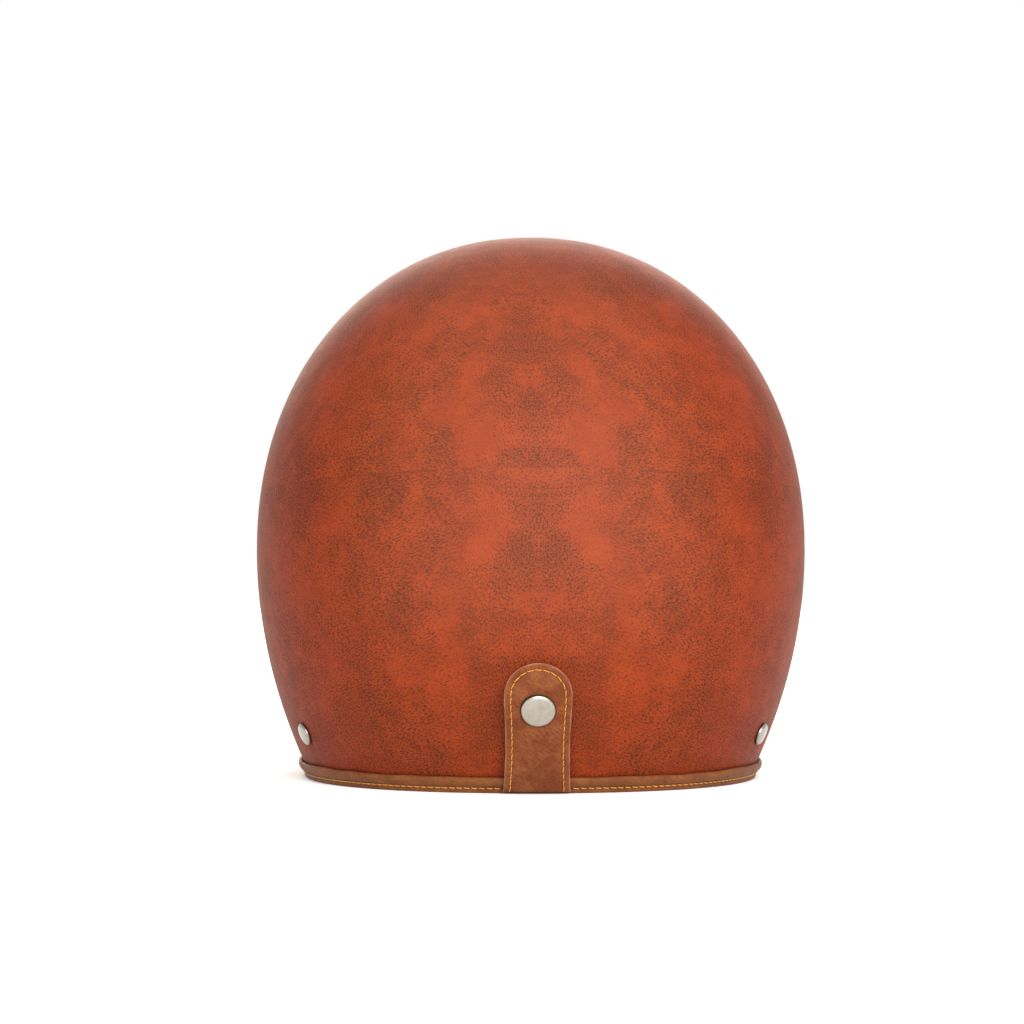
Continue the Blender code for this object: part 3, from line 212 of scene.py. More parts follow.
class Wire:
    """A socket. Sums, products and powers of wires and numbers add the Math nodes they need."""

    __add__, __radd__ = sum_of("ADD"), sum_of("ADD", turned=True)
    __sub__, __rsub__ = sum_of("SUBTRACT"), sum_of("SUBTRACT", turned=True)
    __mul__, __rmul__ = sum_of("MULTIPLY"), sum_of("MULTIPLY", turned=True)
    __truediv__, __pow__ = sum_of("DIVIDE"), sum_of("POWER")
    most, least = sum_of("MAXIMUM"), sum_of("MINIMUM")

    def __init__(self, finish, node, output):
        self.finish, self.node, self.socket = finish, node, node.outputs[output]

    def math(self, operation, *values):
        return self.finish.add("Math", {"operation": operation}, dict(enumerate(values)))

    def pick(self, output):
        return Wire(self.finish, self.node, output)

    def __abs__(self):
        return self.math("ABSOLUTE", self)

    def sine(self):
        return self.math("SINE", self)

    def step(self, low, high, top=1.0):
        """0 below low, top above high and smooth between, also where low is the larger."""
        return self.finish.add(
            "MapRange", {"interpolation_type": "SMOOTHSTEP"}, {0: self, 1: low, 2: high, 4: top})


class Finish:
    """A material and the nodes that draw it."""

    def __init__(self, name, rough=0.5, metal=0.0, sheen=0.0, gloss=0.5):
        self.material = bpy.data.materials.new(name)
        self.material.use_nodes = True
        self.tree = self.material.node_tree
        self.shader = self.tree.nodes["Principled BSDF"]
        plain = {"Roughness": rough, "Metallic": metal, "Sheen Weight": sheen,
                 "Specular IOR Level": gloss}
        for socket, value in plain.items():
            self.shader.inputs[socket].default_value = value

    def feed(self, socket, value):
        if isinstance(value, Wire):
            self.tree.links.new(value.socket, socket)
        elif isinstance(value, tuple) and len(value) == 3 and socket.type == "RGBA":
            socket.default_value = (*value, 1.0)
        else:
            socket.default_value = value

    def add(self, kind, settings=None, sockets=None, output=0):
        """Any node: its settings first, and then the values or wires of its sockets."""
        node = self.tree.nodes.new("ShaderNode" + kind)
        for key, value in (settings or {}).items():
            setattr(node, key, value)
        for key, value in (sockets or {}).items():
            self.feed(node.inputs[key], value)
        return Wire(self, node, output)

    def place(self):
        """The point on the piece in millimetres: the vector, and its three parts."""
        point = self.add("TexCoord", output="Object")
        point = self.add("VectorMath", {"operation": "SCALE"}, {0: point, "Scale": 1 / MM})
        parts = self.add("SeparateXYZ", sockets={0: point})
        return point, parts, parts.pick(1), parts.pick(2)

    def vector(self, x, y, z=0.0):
        return self.add("CombineXYZ", sockets={0: x, 1: y, 2: z})

    def shifted(self, vector, by):
        return self.add("VectorMath", {"operation": "ADD"}, {0: vector, 1: by})

    def noise(self, vector, size, detail=2.0, rough=0.55):
        """Cloudy numbers round 0.5, with clouds about that many millimetres wide."""
        return self.add("TexNoise", sockets={
            "Vector": vector, "Scale": 1 / size, "Detail": detail, "Roughness": rough})

    def cells(self, vector, size, feature="F1"):
        """Distance to the nearest cell's middle, or to its edge, for cells of that size."""
        return self.add("TexVoronoi", {"feature": feature}, {"Vector": vector, "Scale": 1 / size})

    def note(self, name):
        """A number kept on the mesh, such as how dark the print is there or how much painted shade
        a place gets.
        """
        return self.add("Attribute", {"attribute_name": name}, output="Fac")

    def mix(self, share, low, high, how="MIX"):
        """A colour between two others. A Mix node's colours are its inputs 6 and 7 and its
        output 2."""
        settings = {"data_type": "RGBA", "blend_type": how, "clamp_factor": True}
        return self.add("Mix", settings, {0: share, 6: low, 7: high}, output=2)

    def bump(self, height, depth, strength=1.0):
        """A bump whose full height is that many millimetres."""
        return self.add("Bump", sockets={
            "Strength": strength, "Distance": depth * MM, "Height": height})

    def wear(self, colour=None, rough=None, metal=None, normal=None):
        """Hands the drawn colour, roughness, metal and bump to the shader."""
        for socket, value in (("Base Color", colour), ("Roughness", rough),
                              ("Metallic", metal), ("Normal", normal)):
            if value is not None:
                self.feed(self.shader.inputs[socket], value)
        return self.material


CLEAR_ORANGE, DEEP_ORANGE = (0.232, 0.0308, 0.0052), (0.198, 0.0256, 0.0046)
FILM_BROWN, MARK_BROWN = (0.118, 0.0190, 0.0056), (0.070, 0.0150, 0.0050)

# How the print lies on the shell, in millimetres. It is wound round the upright axis through
# the crown. Above a join that rises to the front and back, its mirror line leans to the left.
AXIS_Y, PRINT_RADIUS = CROWN_Y / MM, 128.0
LEAN, LEAN_FROM = 0.093, 139.0
JOIN_HEIGHT, JOIN_RISE, JOIN_REACH = 129.5, 9.2, 142.0
FLAT_PRINT_FROM = 226.0

# Dark (+) and clear (-) places of the shell's print, above and below its join: arc from the
# middle of the back, height, half sizes and strength
PRINT_ABOVE = (
    (0, 203, 5, 4, 0.8), (2, 190, 9, 5, 0.9), (1, 192, 4, 3, 0.7), (9, 187, 6, 4, 0.4),
    (15, 174, 6, 7, 0.75), (9, 180, 5, 4, 0.35), (0, 168, 2, 5, 0.8), (0, 144, 1.5, 6, 0.9),
    (38, 180, 7, 6, 0.22), (49, 169, 5, 5, 0.25), (40, 160, 6, 5, -0.45), (63, 160, 8, 6, -0.2),
    (0, 165, 4, 5, 0.5), (9, 163, 5, 7, 0.35), (76, 157, 7, 5, 0.25), (35, 147, 7, 9, 0.5),
    (0, 147, 6, 9, 0.4), (5, 141, 11, 3, 0.85), (72, 143, 8, 7, 0.35), (101, 138, 9, 7, 0.45),
    (114, 143, 12, 9, 0.3), (66, 212, 13, 9, 0.15), (90, 222, 16, 9, 0.55),
    (122, 212, 18, 14, 0.45), (25, 229, 26, 6, 0.35), (128, 178, 12, 16, 0.3),
    (118, 198, 16, 9, 0.25), (55, 220, 12, 7, 0.3), (150, 160, 14, 22, 0.35),
    (28, 206, 18, 7, -0.6), (50, 195, 10, 11, -0.45), (25, 176, 5, 9, -0.5),
    (32, 161, 9, 7, -0.65), (22, 148, 9, 9, -0.8), (51, 152, 5, 5, -0.35),
    (106, 176, 16, 8, -0.4), (95, 158, 11, 9, -0.35), (86, 205, 9, 7, -0.35),
    (78, 188, 14, 7, -0.2),
)
PRINT_BELOW = (
    (28, 135, 5, 7, 0.5), (18, 134, 6, 4, 0.2), (58, 132, 10, 5, 0.9), (66, 120, 6, 10, 0.3),
    (57, 125, 7, 4, 0.45), (99, 131, 12, 4, 0.75), (95, 126, 9, 5, 0.4), (4, 109, 5, 8, 0.65),
    (4, 99, 9, 6, 0.7), (11, 91, 7, 6, 0.35), (33, 106, 7, 8, 0.5), (52, 90, 5, 5, 0.35),
    (103, 119, 9, 8, 0.5), (53, 81, 6, 6, 0.55), (45, 73, 9, 4, 0.25), (69, 92, 7, 5, 0.35),
    (70, 104, 9, 6, 0.25), (14, 76, 7, 6, 0.3), (24, 71, 5, 8, 0.5), (19, 48, 7, 5, 0.6),
    (22, 55, 7, 4, 0.5), (22, 30, 8, 12, 0.75), (2, 58, 5, 5, 0.35), (70, 45, 9, 15, 0.35),
    (66, 28, 8, 11, 0.2), (50, 33, 13, 9, 0.15), (108, 28, 15, 6, 0.25), (116, 123, 7, 4, 0.25),
    (55, 15, 15, 6, 0.35), (144, 128, 16, 8, 0.4), (150, 92, 12, 20, 0.25), (128, 48, 12, 12, 0.3),
    (148, 30, 18, 12, 0.3), (16, 115, 7, 10, -0.75), (22, 103, 8, 8, -0.7), (35, 88, 9, 7, -0.45),
    (33, 74, 6, 9, -0.7), (5, 82, 6, 4, -0.4), (11, 67, 9, 4, -0.35), (38, 45, 8, 14, -0.5),
    (54, 52, 9, 7, -0.5), (105, 38, 11, 9, -0.4), (47, 98, 6, 7, -0.35), (35, 60, 5, 6, -0.35),
    (100, 85, 14, 7, -0.38), (90, 96, 9, 5, -0.25), (46, 126, 4, 6, -0.5), (46, 113, 7, 8, -0.35),
    (84, 118, 6, 7, -0.35), (122, 102, 12, 12, -0.25), (95, 55, 12, 8, -0.25), (7, 122, 8, 8, 0.4),
    (14, 62, 10, 8, 0.1), (0, 74, 8, 8, 0.25),
)
# Places where the marks run out and up in long dashed lines
PRINT_RAYS = (
    (11, 208, 10, 4, 0.9), (27, 192, 13, 4, 0.9), (36, 185, 9, 4, 0.5), (54, 186, 12, 6, 0.25),
    (60, 172, 9, 5, 0.4), (40, 204, 12, 5, 0.3), (84, 166, 12, 6, 0.4),
)


def print_patches(points, patches):
    """How much darker, or clearer below 0, the print's patches make each point of the shell."""
    x, y, z = np.asarray(points).T / MM
    across = np.abs(x - LEAN * np.maximum(z - LEAN_FROM, 0.0))
    arc = np.arctan2(across, y - AXIS_Y) * PRINT_RADIUS
    along = arc + 2.4 * ripple(z, 31.0, 1.0) + 1.2 * ripple(arc + z, 13.0, 2.0)
    height = z + 2.0 * ripple(arc, 27.0, 3.0) + 1.0 * ripple(arc - z, 11.0, 4.0)
    total = 0.0
    for middle, level, wide, tall, strength in patches:
        reach = np.hypot((along - middle) / wide, (height - level) / tall)
        near = np.clip((1.75 - reach) / 1.7, 0.0, 1.0)
        total = total + 0.8 * strength * near * near * (3.0 - 2.0 * near)
    return total


def shell_print():
    """Satin print on the shell: clear orange under mottled, mirrored leather marks."""
    f = Finish("shell_print", rough=0.55, sheen=0.034, gloss=0.085)
    f.shader.inputs["Sheen Roughness"].default_value = 0.34
    f.shader.inputs["Sheen Tint"].default_value = (0.93, 0.88, 0.66, 1.0)
    _, x, y, z = f.place()
    widest, dome = WIDEST / MM, CROWN_RISE / MM
    join = z - (JOIN_HEIGHT + JOIN_RISE * (y / JOIN_REACH) ** 2)
    above = join.step(-0.15, 0.15)
    across = abs(x - LEAN * (z - LEAN_FROM).most(0.0))
    arc = across.math("ARCTAN2", across, y - AXIS_Y) * PRINT_RADIUS
    over = (z - widest).most(0.0) / dome
    climb = z.least(widest) + dome * over.math("ARCSINE", over.least(1.0))
    # Over the crown the print is laid flat, with a plain join
    crown = z.step(FLAT_PRINT_FROM - 0.2, FLAT_PRINT_FROM + 0.2)
    arc_at = arc + crown * (across * 1.1 - arc)
    climb_at = climb + crown * ((260.0 - y) - climb)
    sheet = f.vector(arc_at, climb_at, above * 40.0)
    solid = f.vector(across, y, z + above * 60.0)

    # How dense the marks are: broad clouds and blotches, and the patches kept on the mesh
    cloud = f.noise(solid, 26.0, 4.0, 0.62)
    blotch = f.noise(solid, 7.5, 3.0, 0.6)
    dense = (cloud - 0.5) * 0.65 + (blotch - 0.5)
    low = f.note("dark_below")
    dense = (dense + (low + (f.note("dark_above") - low) * above) * 0.72 + 0.25).step(-0.42, 0.68)

    def slanted(slope, long, wide, depth):
        """Noise drawn out along a slope across the print: its clouds' two sizes, and a seed."""
        return f.vector((arc_at + climb_at * slope) / long, (climb_at - arc_at * slope) / wide,
                        depth)

    # The marks: long flecks away from the middle of the back, upright pores near it, and rays
    fleck = f.noise(slanted((above * 2.0 - 1.0) * 0.42, 1.55, 0.60, above * 17.0), 1.0, 1.5, 0.5)
    pore = f.noise(slanted(0.5, 0.64, 1.10, above * 23.0 + 5.0), 1.0, 1.5, 0.5)
    line = 0.612 - 0.108 * dense
    near = arc_at.step(40.0, 12.0)
    marks = (fleck - line).step(-0.012, 0.028) * (1.0 - 0.8 * near)
    marks = marks.most((pore - (line + 0.01)).step(-0.012, 0.028) * (0.5 + 0.5 * near))
    marks = marks * (0.66 + 0.34 * dense)
    rays = f.note("rays")
    ray = f.noise(slanted(0.65, 6.5, 1.05, 9.0), 1.0, 1.0, 0.5)
    dashes = (ray - (0.66 - 0.13 * rays)).step(-0.01, 0.03) * pore.step(0.34, 0.44)
    marks = marks.most(dashes * rays.step(0.05, 0.4, 0.95))
    seam = abs(join + 0.3).step(0.65, 0.15) * blotch.step(0.40, 0.54) * arc.step(12.0, 45.0)
    marks = marks.most(seam * 0.5)

    ground = f.mix(f.noise(sheet, 13.0, 3.0).step(0.35, 0.65), CLEAR_ORANGE, DEEP_ORANGE)
    film = f.mix(dense * dense * dense * 0.27, ground, FILM_BROWN)
    colour = f.mix(marks, film, MARK_BROWN)
    # Painted sheen: the print is painted a little paler and greyer over the back, where the light
    # faces it, and painted deeper at the sides where that sheen falls away; round the crown, where
    # those meet, halfway between
    off_axis = (across * across + (y - AXIS_Y) ** 2.0).step(300.0, 7200.0)
    painted_sheen = (arc.step(105.0, 30.0) * off_axis + (1.0 - off_axis) * 0.5) * z.step(35.0, 100.0)
    colour = f.mix(painted_sheen * 0.024, colour, (0.36, 0.34, 0.27))
    painted_side_shade = arc.step(45.0, 115.0) * off_axis + (1.0 - off_axis) * 0.4
    colour = f.mix(painted_side_shade, colour, (0.95, 0.79, 0.50), "MULTIPLY")
    peel = f.noise(f.vector(x, y, z), 1.6, 1.0)
    return f.wear(colour, 0.54 + 0.05 * dense + 0.05 * marks, normal=f.bump(peel, 0.012))


def leather(name, light, middle, dark, streaks=0.35):
    """Pull-up leather: mottled, finely wrinkled, with painted shade in its recesses and creases,
    and pale where it is cut.
    """
    f = Finish(name, gloss=0.14)
    point, x, y, z = f.place()
    slant = f.vector((x + z * 0.75) / 3.6, (z - x * 0.75) / 0.7, y / 2.0)
    wrinkle = f.noise(slant, 1.0, 3.0, 0.6)
    mottle = f.noise(point, 8.0, 4.0, 0.6)
    pebble = f.cells(f.shifted(point, f.noise(point, 1.2, 1.0)), 0.62, "DISTANCE_TO_EDGE")
    tone = f.mix(mottle.step(0.36, 0.66), middle, light)
    tone = f.mix(wrinkle.step(0.55, 0.32) * streaks, tone, dark)
    tone = f.mix(pebble.step(0.14, 0.0) * 0.45, tone, dark)
    # Painted shade: darker where the mesh marks a recess, crease or gap
    tone = f.mix(f.note("hollow"), tone, dark)
    pale = tuple(c * 1.6 + 0.16 for c in light)
    tone = f.mix(f.note("cut") * (0.55 + 0.4 * mottle), tone, pale)
    height = pebble.step(0.0, 0.16) * 0.6 + wrinkle * 0.9 + mottle * 0.4
    return f.wear(tone, 0.42 + 0.2 * mottle, normal=f.bump(height, 0.10, 0.8))


def thread(name, light, dark):
    """Twisted sewing thread."""
    f = Finish(name, rough=0.55, sheen=0.05, gloss=0.3)
    point, x, y, z = f.place()
    twist = ((x + y * 0.8 + z) * 5.2).sine() * 0.5 + 0.5
    tone = f.mix(twist * 0.5 + f.noise(point, 2.0) * 0.3, light, dark)
    return f.wear(tone, normal=f.bump(twist, 0.06))


def metal(name, colour, rough, grain=0.35):
    """Plated metal with faint turning marks, a little tarnish and painted shade under its rims."""
    f = Finish(name, rough=rough, metal=1.0)
    point, x, y, z = f.place()
    fine = f.noise(f.vector(x, y, z * 9.0), 0.5, 2.0)
    cloud = f.noise(point, 2.4, 3.0)
    tone = f.mix(cloud.step(0.3, 0.8) * 0.5, colour, tuple(c * 0.66 for c in colour))
    # Painted shade: near black where the mesh marks a recess under a rim or head
    tone = f.mix(f.note("hollow"), tone, (0.02, 0.017, 0.014))
    return f.wear(tone, rough - 0.06 + grain * fine * 0.4, normal=f.bump(fine, 0.006, 0.5))


def bead_foam():
    """Moulded bead foam: rounded beads pressed together, with fine dark joints."""
    f = Finish("bead_foam", rough=0.8, gloss=0.3)
    point, *_ = f.place()
    bend = f.shifted(point, f.noise(point, 3.0, 1.0))
    joint = f.cells(bend, 3.4, "DISTANCE_TO_EDGE")
    bead = f.cells(bend, 3.4)
    shine = f.noise(point, 22.0, 3.0)
    tone = f.mix(bead.step(0.1, 0.8), (0.052, 0.052, 0.056), (0.03, 0.03, 0.033))
    tone = f.mix(joint.step(0.09, 0.0) * 0.8, tone, (0.009, 0.009, 0.01))
    return f.wear(tone, 0.68 + 0.2 * shine, normal=f.bump(joint.step(0.0, 0.2), 0.22, 0.9))


def knit(name, light, dark):
    """Brushed knitted lining: tiny loops under a soft nap, with painted shade in the quilting's
    seams.
    """
    f = Finish(name, rough=0.9, sheen=0.06, gloss=0.06)
    point, x, y, z = f.place()
    loop = f.cells(f.vector(x * 1.2, y * 1.2, z), 0.9)
    nap = f.noise(point, 5.0, 4.0, 0.65)
    fuzz = f.noise(point, 0.45, 2.0)
    tone = f.mix(nap.step(0.32, 0.7), dark, light)
    tone = f.mix(loop.step(0.25, 0.75) * 0.45, tone, tuple(c * 0.5 for c in dark))
    # Painted shade: darker in the quilting's seams and by its edge bead
    tone = f.mix(f.note("hollow") * 0.8, tone, tuple(c * 0.35 for c in dark))
    return f.wear(tone, normal=f.bump(loop.step(0.8, 0.1) + fuzz * 0.6, 0.16, 0.8))


def webbing():
    """Woven polyester webbing: ribs along the strap, crossed by a twill."""
    f = Finish("woven_webbing", rough=0.75, sheen=0.05, gloss=0.2)
    along, across = f.note("along"), f.note("across")
    lane = across / 1.15
    rib = abs((lane * math.pi).sine())
    shift = lane.math("MODULO", lane.math("FLOOR", lane), 2.0) * 0.5
    pick = abs(((along / 1.5 + shift) * math.pi).sine())
    weave = rib * (0.45 + 0.55 * pick)
    cloud = f.noise(f.vector(along, across), 7.0, 3.0)
    tone = f.mix(weave.step(0.1, 0.9), (0.008, 0.007, 0.006), (0.032, 0.028, 0.025))
    tone = f.mix(cloud.step(0.55, 0.8) * 0.3, tone, (0.06, 0.052, 0.045))
    return f.wear(tone, 0.68 + 0.14 * cloud, normal=f.bump(weave, 0.22, 0.9))


def moulded(name, colour, rough):
    """Moulded plastic with a fine sparked texture."""
    f = Finish(name, rough=rough)
    point, *_ = f.place()
    spark, cloud = f.noise(point, 0.35, 2.0), f.noise(point, 6.0, 3.0)
    tone = f.mix(cloud.step(0.3, 0.7), colour, tuple(c * 1.7 for c in colour))
    return f.wear(tone, rough - 0.05 + 0.18 * spark, normal=f.bump(spark, 0.03, 0.7))


def studio_floor():
    f = Finish("studio_floor", rough=0.9, gloss=0.2)
    f.shader.inputs["Emission Color"].default_value = (1.0, 1.0, 1.0, 1.0)
    f.shader.inputs["Emission Strength"].default_value = 0.12
    point, *_ = f.place()
    tone = f.mix(f.noise(point, 900.0), (0.93, 0.93, 0.925), (0.9, 0.9, 0.9))
    return f.wear(tone)


def raw_wall():
    """The shell's inner wall: painted glass fibre, with the chopped strands showing through."""
    f = Finish("raw_wall", rough=0.6, gloss=0.3)
    _, x, y, z = f.place()
    first = f.noise(f.vector((x + y) / 9.0, (y - x + z) / 0.9, z / 4.0), 1.0, 2.0)
    second = f.noise(f.vector(x - z, (y + z) / 8.0, x / 4.0), 1.0, 2.0)
    strand = first.step(0.56, 0.66).most(second.step(0.57, 0.67))
    tone = f.mix(strand * 0.6, (0.017, 0.016, 0.016), (0.032, 0.03, 0.028))
    return f.wear(tone, 0.55 + 0.1 * strand, normal=f.bump(strand, 0.08))


PRINT = shell_print()
INNER_WALL = raw_wall()
TRIM_LEATHER = leather(
    "trim_leather", (0.200, 0.064, 0.0165), (0.150, 0.043, 0.0105), (0.052, 0.0125, 0.004))
TAB_LEATHER = leather(
    "tab_leather", (0.205, 0.058, 0.0155), (0.142, 0.032, 0.0068), (0.068, 0.0150, 0.0045), 0.6)
PAD_LEATHER = leather(
    "pad_leather", (0.17, 0.055, 0.018), (0.12, 0.036, 0.012), (0.045, 0.014, 0.006))
GOLD_THREAD = thread("gold_thread", (0.60, 0.27, 0.035), (0.34, 0.12, 0.014))
BLACK_THREAD = thread("black_thread", (0.05, 0.045, 0.04), (0.015, 0.013, 0.012))
CAP_METAL = metal("cap_metal", (0.42, 0.385, 0.33), 0.34)
STUD_METAL = metal("stud_metal", (0.40, 0.375, 0.345), 0.27)
PLATE_METAL = metal("plate_metal", (0.50, 0.50, 0.50), 0.36, 0.6)
FOAM = bead_foam()
LINING = knit("knitted_lining", (0.175, 0.078, 0.034), (0.110, 0.046, 0.019))
WEBBING = webbing()
PLASTIC = moulded("black_plastic", (0.016, 0.016, 0.018), 0.46)


# Mesh making

class Shape:
    """Vertices and faces gathered for one mesh, with numbers kept for each vertex."""

    def __init__(self):
        self.verts, self.faces, self.notes = [], [], {}

    def add(self, verts, faces, **notes):
        start, count = len(self.verts), len(verts)
        self.verts += [tuple(map(float, v)) for v in verts]
        self.faces += [tuple(start + i for i in face) for face in faces]
        for key in set(self.notes) | set(notes):
            values = np.broadcast_to(notes.get(key, 0.0), count)
            self.notes.setdefault(key, [0.0] * start).extend(map(float, values))
        return self

    def grid(self, rows, closed=True, looped=False, caps=False, poles=(None, None), **notes):
        """Rows of points joined into a skin. A pole, or a flat cap, closes an end."""
        rows = np.asarray(rows)
        count, columns = rows.shape[:2]
        faces = []
        for r in range(count if looped else count - 1):
            for c in range(columns if closed else columns - 1):
                d, low, high = (c + 1) % columns, r * columns, (r + 1) % count * columns
                faces.append((low + c, low + d, high + d, high + c))
        verts = list(rows.reshape(-1, 3))
        for pole, low in zip(poles, (0, (count - 1) * columns)):
            if pole is not None:
                top = len(verts)
                verts.append(pole)
                faces += [(low + c, low + (c + 1) % columns, top) for c in range(columns)]
            elif caps:
                faces.append(tuple(range(low, low + columns)))
        values = {key: np.zeros(len(verts)) for key in notes}
        for key, value in notes.items():
            values[key][:count * columns] = np.broadcast_to(value, (count, columns)).reshape(-1)
        return self.add(verts, faces, **values)


def turn_outwards(mesh):
    work = bmesh.new()
    work.from_mesh(mesh)
    bmesh.ops.recalc_face_normals(work, faces=work.faces)
    work.to_mesh(mesh)
    work.free()


def mesh_of(name, shape, finish, sharp=50.0):
    """The shape as an object in one finish, smooth but for edges over that many degrees."""
    mesh = bpy.data.meshes.new(name)
    mesh.from_pydata(shape.verts, [], shape.faces)
    for key, values in shape.notes.items():
        mesh.attributes.new(key, "FLOAT", "POINT").data.foreach_set("value", values)
    turn_outwards(mesh)
    mesh.shade_smooth()
    mesh.set_sharp_from_angle(angle=math.radians(sharp))
    mesh.materials.append(finish)
    obj = bpy.data.objects.new(name, mesh)
    bpy.context.scene.collection.objects.link(obj)
    return obj


def fit(obj, body, slot, *nodes):
    """Hangs a piece on its body and hides the nodes it stands for. The slot is not used."""
    if body is not None:
        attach(obj, body)
    if nodes:
        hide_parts(*nodes)
    return obj


def piece(name, shape, finish, body, slot, *nodes, sharp=50.0):
    return fit(mesh_of(name, shape, finish, sharp), body, slot, *nodes)


def lathe(profile, place, steps, **notes):
    """A profile of (radius, height) in millimetres, turned round the place's local Z."""
    angles = np.arange(steps) * math.tau / steps
    circle = np.stack([np.cos(angles), np.sin(angles), np.zeros(steps)], axis=1)
    turn, shift = np.array(place.to_3x3()), np.array(place.translation)
    rows, ends = [], [None, None]
    for k, (radius, height) in enumerate(profile):
        row = (circle * radius * MM + (0, 0, height * MM)) @ turn.T + shift
        if radius == 0 and k in (0, len(profile) - 1):
            ends[min(k, 1)] = row[0]
        else:
            rows.append(row)
    values = {}
    for key, value in notes.items():
        kept = [v for (radius, _), v in zip(profile, value) if radius]
        values[key] = np.array(kept)[:, None]
    looped = ends[0] is None and ends[1] is None
    return Shape().grid(rows, looped=looped, poles=ends, **values)


def turned(name, profile, place, steps, finish, body, slot, *nodes, **notes):
    return piece(name, lathe(profile, place, steps, **notes), finish, body, slot, *nodes)


def rounded(profile, radius=0.3):
    """A profile with its corners rounded, but not its ends."""
    out = [profile[0]]
    for corners in zip(profile, profile[1:], profile[2:]):
        before, corner, after = (np.array(p, float) for p in corners)
        back, ahead = before - corner, after - corner
        room = min(radius, np.linalg.norm(back) / 2.1, np.linalg.norm(ahead) / 2.1)
        start, end = corner + unit(back) * room, corner + unit(ahead) * room
        for t in np.arange(4) / 3:
            out.append(tuple((1 - t) ** 2 * start + 2 * t * (1 - t) * corner + t ** 2 * end))
    return out + [profile[-1]]


def tube(shape, path, radius, sides=10, closed=False, up=(0.0, 0.0, 1.0)):
    """A round rod along a path. The radius may change from point to point."""
    path = np.asarray(path, float)
    if closed:
        ahead = unit(np.roll(path, -1, axis=0) - np.roll(path, 1, axis=0))
    else:
        ahead = unit(np.gradient(path, axis=0))
    side = np.cross(ahead, up)
    side /= np.maximum(np.linalg.norm(side, axis=1, keepdims=True), 1e-9)
    over = np.cross(side, ahead)
    radius = np.broadcast_to(radius, len(path))[:, None]
    angles = math.tau * np.arange(sides) / sides
    rows = [path + radius * (side * math.cos(a) + over * math.sin(a)) for a in angles]
    poles = (None, None) if closed else (path[0], path[-1])
    return shape.grid(np.array(rows).transpose(1, 0, 2), looped=closed, poles=poles)


def sewing(path, out, pitch=3.3, length=2.7, radius=0.3, closed=True, slant=0.12, shape=None):
    """Separate stitches along a path, sized in millimetres: each one a thread that rises out
    of the leather and dives back. The out vectors point away from the leather."""
    shape = shape or Shape()
    distance, points = walked(path, closed)
    out = np.broadcast_to(out, np.shape(path))
    ways = np.vstack([out, out[:1]]) if closed else out
    count = max(int(distance[-1] / (pitch * MM)), 1)
    pace = distance[-1] / count
    # A stitch's seven points: their places along it, heights and thicknesses
    shares = np.array([-0.5, -0.42, -0.25, 0.0, 0.25, 0.42, 0.5])
    lift = np.array([-0.55, 0.25, 0.75, 0.85, 0.75, 0.25, -0.55]) * radius * MM
    thick = np.array([0.55, 0.9, 1.0, 1.0, 1.0, 0.9, 0.55]) * radius * MM
    for k in range(count):
        at = (k + 0.5) * pace + shares * length * MM
        line, way = (np.stack([np.interp(at, distance, values[:, i]) for i in range(3)], axis=1)
                     for values in (points, ways))
        aside = unit(np.cross(line[-1] - line[0], way[3]))
        line = line + way * lift[:, None] + aside * (shares * 2 * slant * MM)[:, None]
        tube(shape, line, thick, sides=6, up=way)
    return shape


# The shell and its trim

def make_shell():
    columns, outside, inside = 288, 56, 24
    path = edge_path(SHELL_EDGE, columns)
    outer = [layer_ring(path, 0.0, k / outside) for k in range(1, outside + 1)]
    inner = [layer_ring(path, WALL, k / inside) for k in range(inside, 0, -1)]
    shape = Shape().grid(outer + inner, poles=pole_points(0.0, WALL))
    for note, patches in (("dark_above", PRINT_ABOVE), ("dark_below", PRINT_BELOW),
                          ("rays", PRINT_RAYS)):
        shape.notes[note] = list(print_patches(shape.verts, patches))
    shell = mesh_of("shell", shape, PRINT)
    shell.data.materials.append(INNER_WALL)
    wall = set(range(outside * columns, (outside + inside) * columns)) | {len(shape.verts) - 1}
    for face in shell.data.polygons:
        face.material_index = int(face.vertices[0] in wall)
    fit(shell, "helmet", "shell_finish", "outer_shell")


def trim_lines(path):
    """The shell's edge, the way out of it and the way up into the shell."""
    edge, out = surface_point(*path), surface_normal(*path)
    into = unit(np.cross(np.roll(edge, -1, axis=0) - np.roll(edge, 1, axis=0), out))
    toward = on_surface(POLE[None], 0.0) - edge
    return edge, out, into * np.sign(np.einsum("ij,ij->i", into, toward))[:, None]


# The trim's section in millimetres, out from the shell and up from its edge, with how much painted
# shade its recesses get: a padded bead over a sewn groove
TRIM_SECTION = (
    (0.15, 5.9, 0.9), (0.55, 6.55, 0.7), (1.15, 6.75, 0.15), (1.8, 6.5, 0), (2.3, 5.9, 0),
    (2.55, 5.1, 0), (2.6, 4.3, 0), (2.5, 3.5, 0), (2.25, 2.8, 0.05), (1.9, 2.2, 0.2),
    (1.55, 1.8, 0.45), (1.42, 1.4, 0.5), (1.55, 1.0, 0.4), (1.85, 0.6, 0.15), (2.05, 0.0, 0),
    (2.05, -0.8, 0), (1.75, -1.6, 0), (1.15, -2.25, 0.1), (0.2, -2.55, 0.3), (-1.5, -2.6, 0.4),
    (-3.2, -2.6, 0.4), (-4.7, -2.3, 0.2), (-5.6, -1.5, 0), (-6.0, -0.6, 0), (-6.1, 0.5, 0.1),
    (-5.85, 1.4, 0.4), (-6.1, 2.3, 0), (-6.15, 3.6, 0), (-6.05, 4.9, 0), (-5.6, 5.55, 0.2),
    (-4.95, 5.7, 0.6), (-4.5, 5.3, 0.9), (-4.45, 0.0, 1), (-4.4, -0.35, 1), (0.15, -0.35, 1),
    (0.2, 0.0, 1),
)
GROOVE_HEIGHT = 1.4


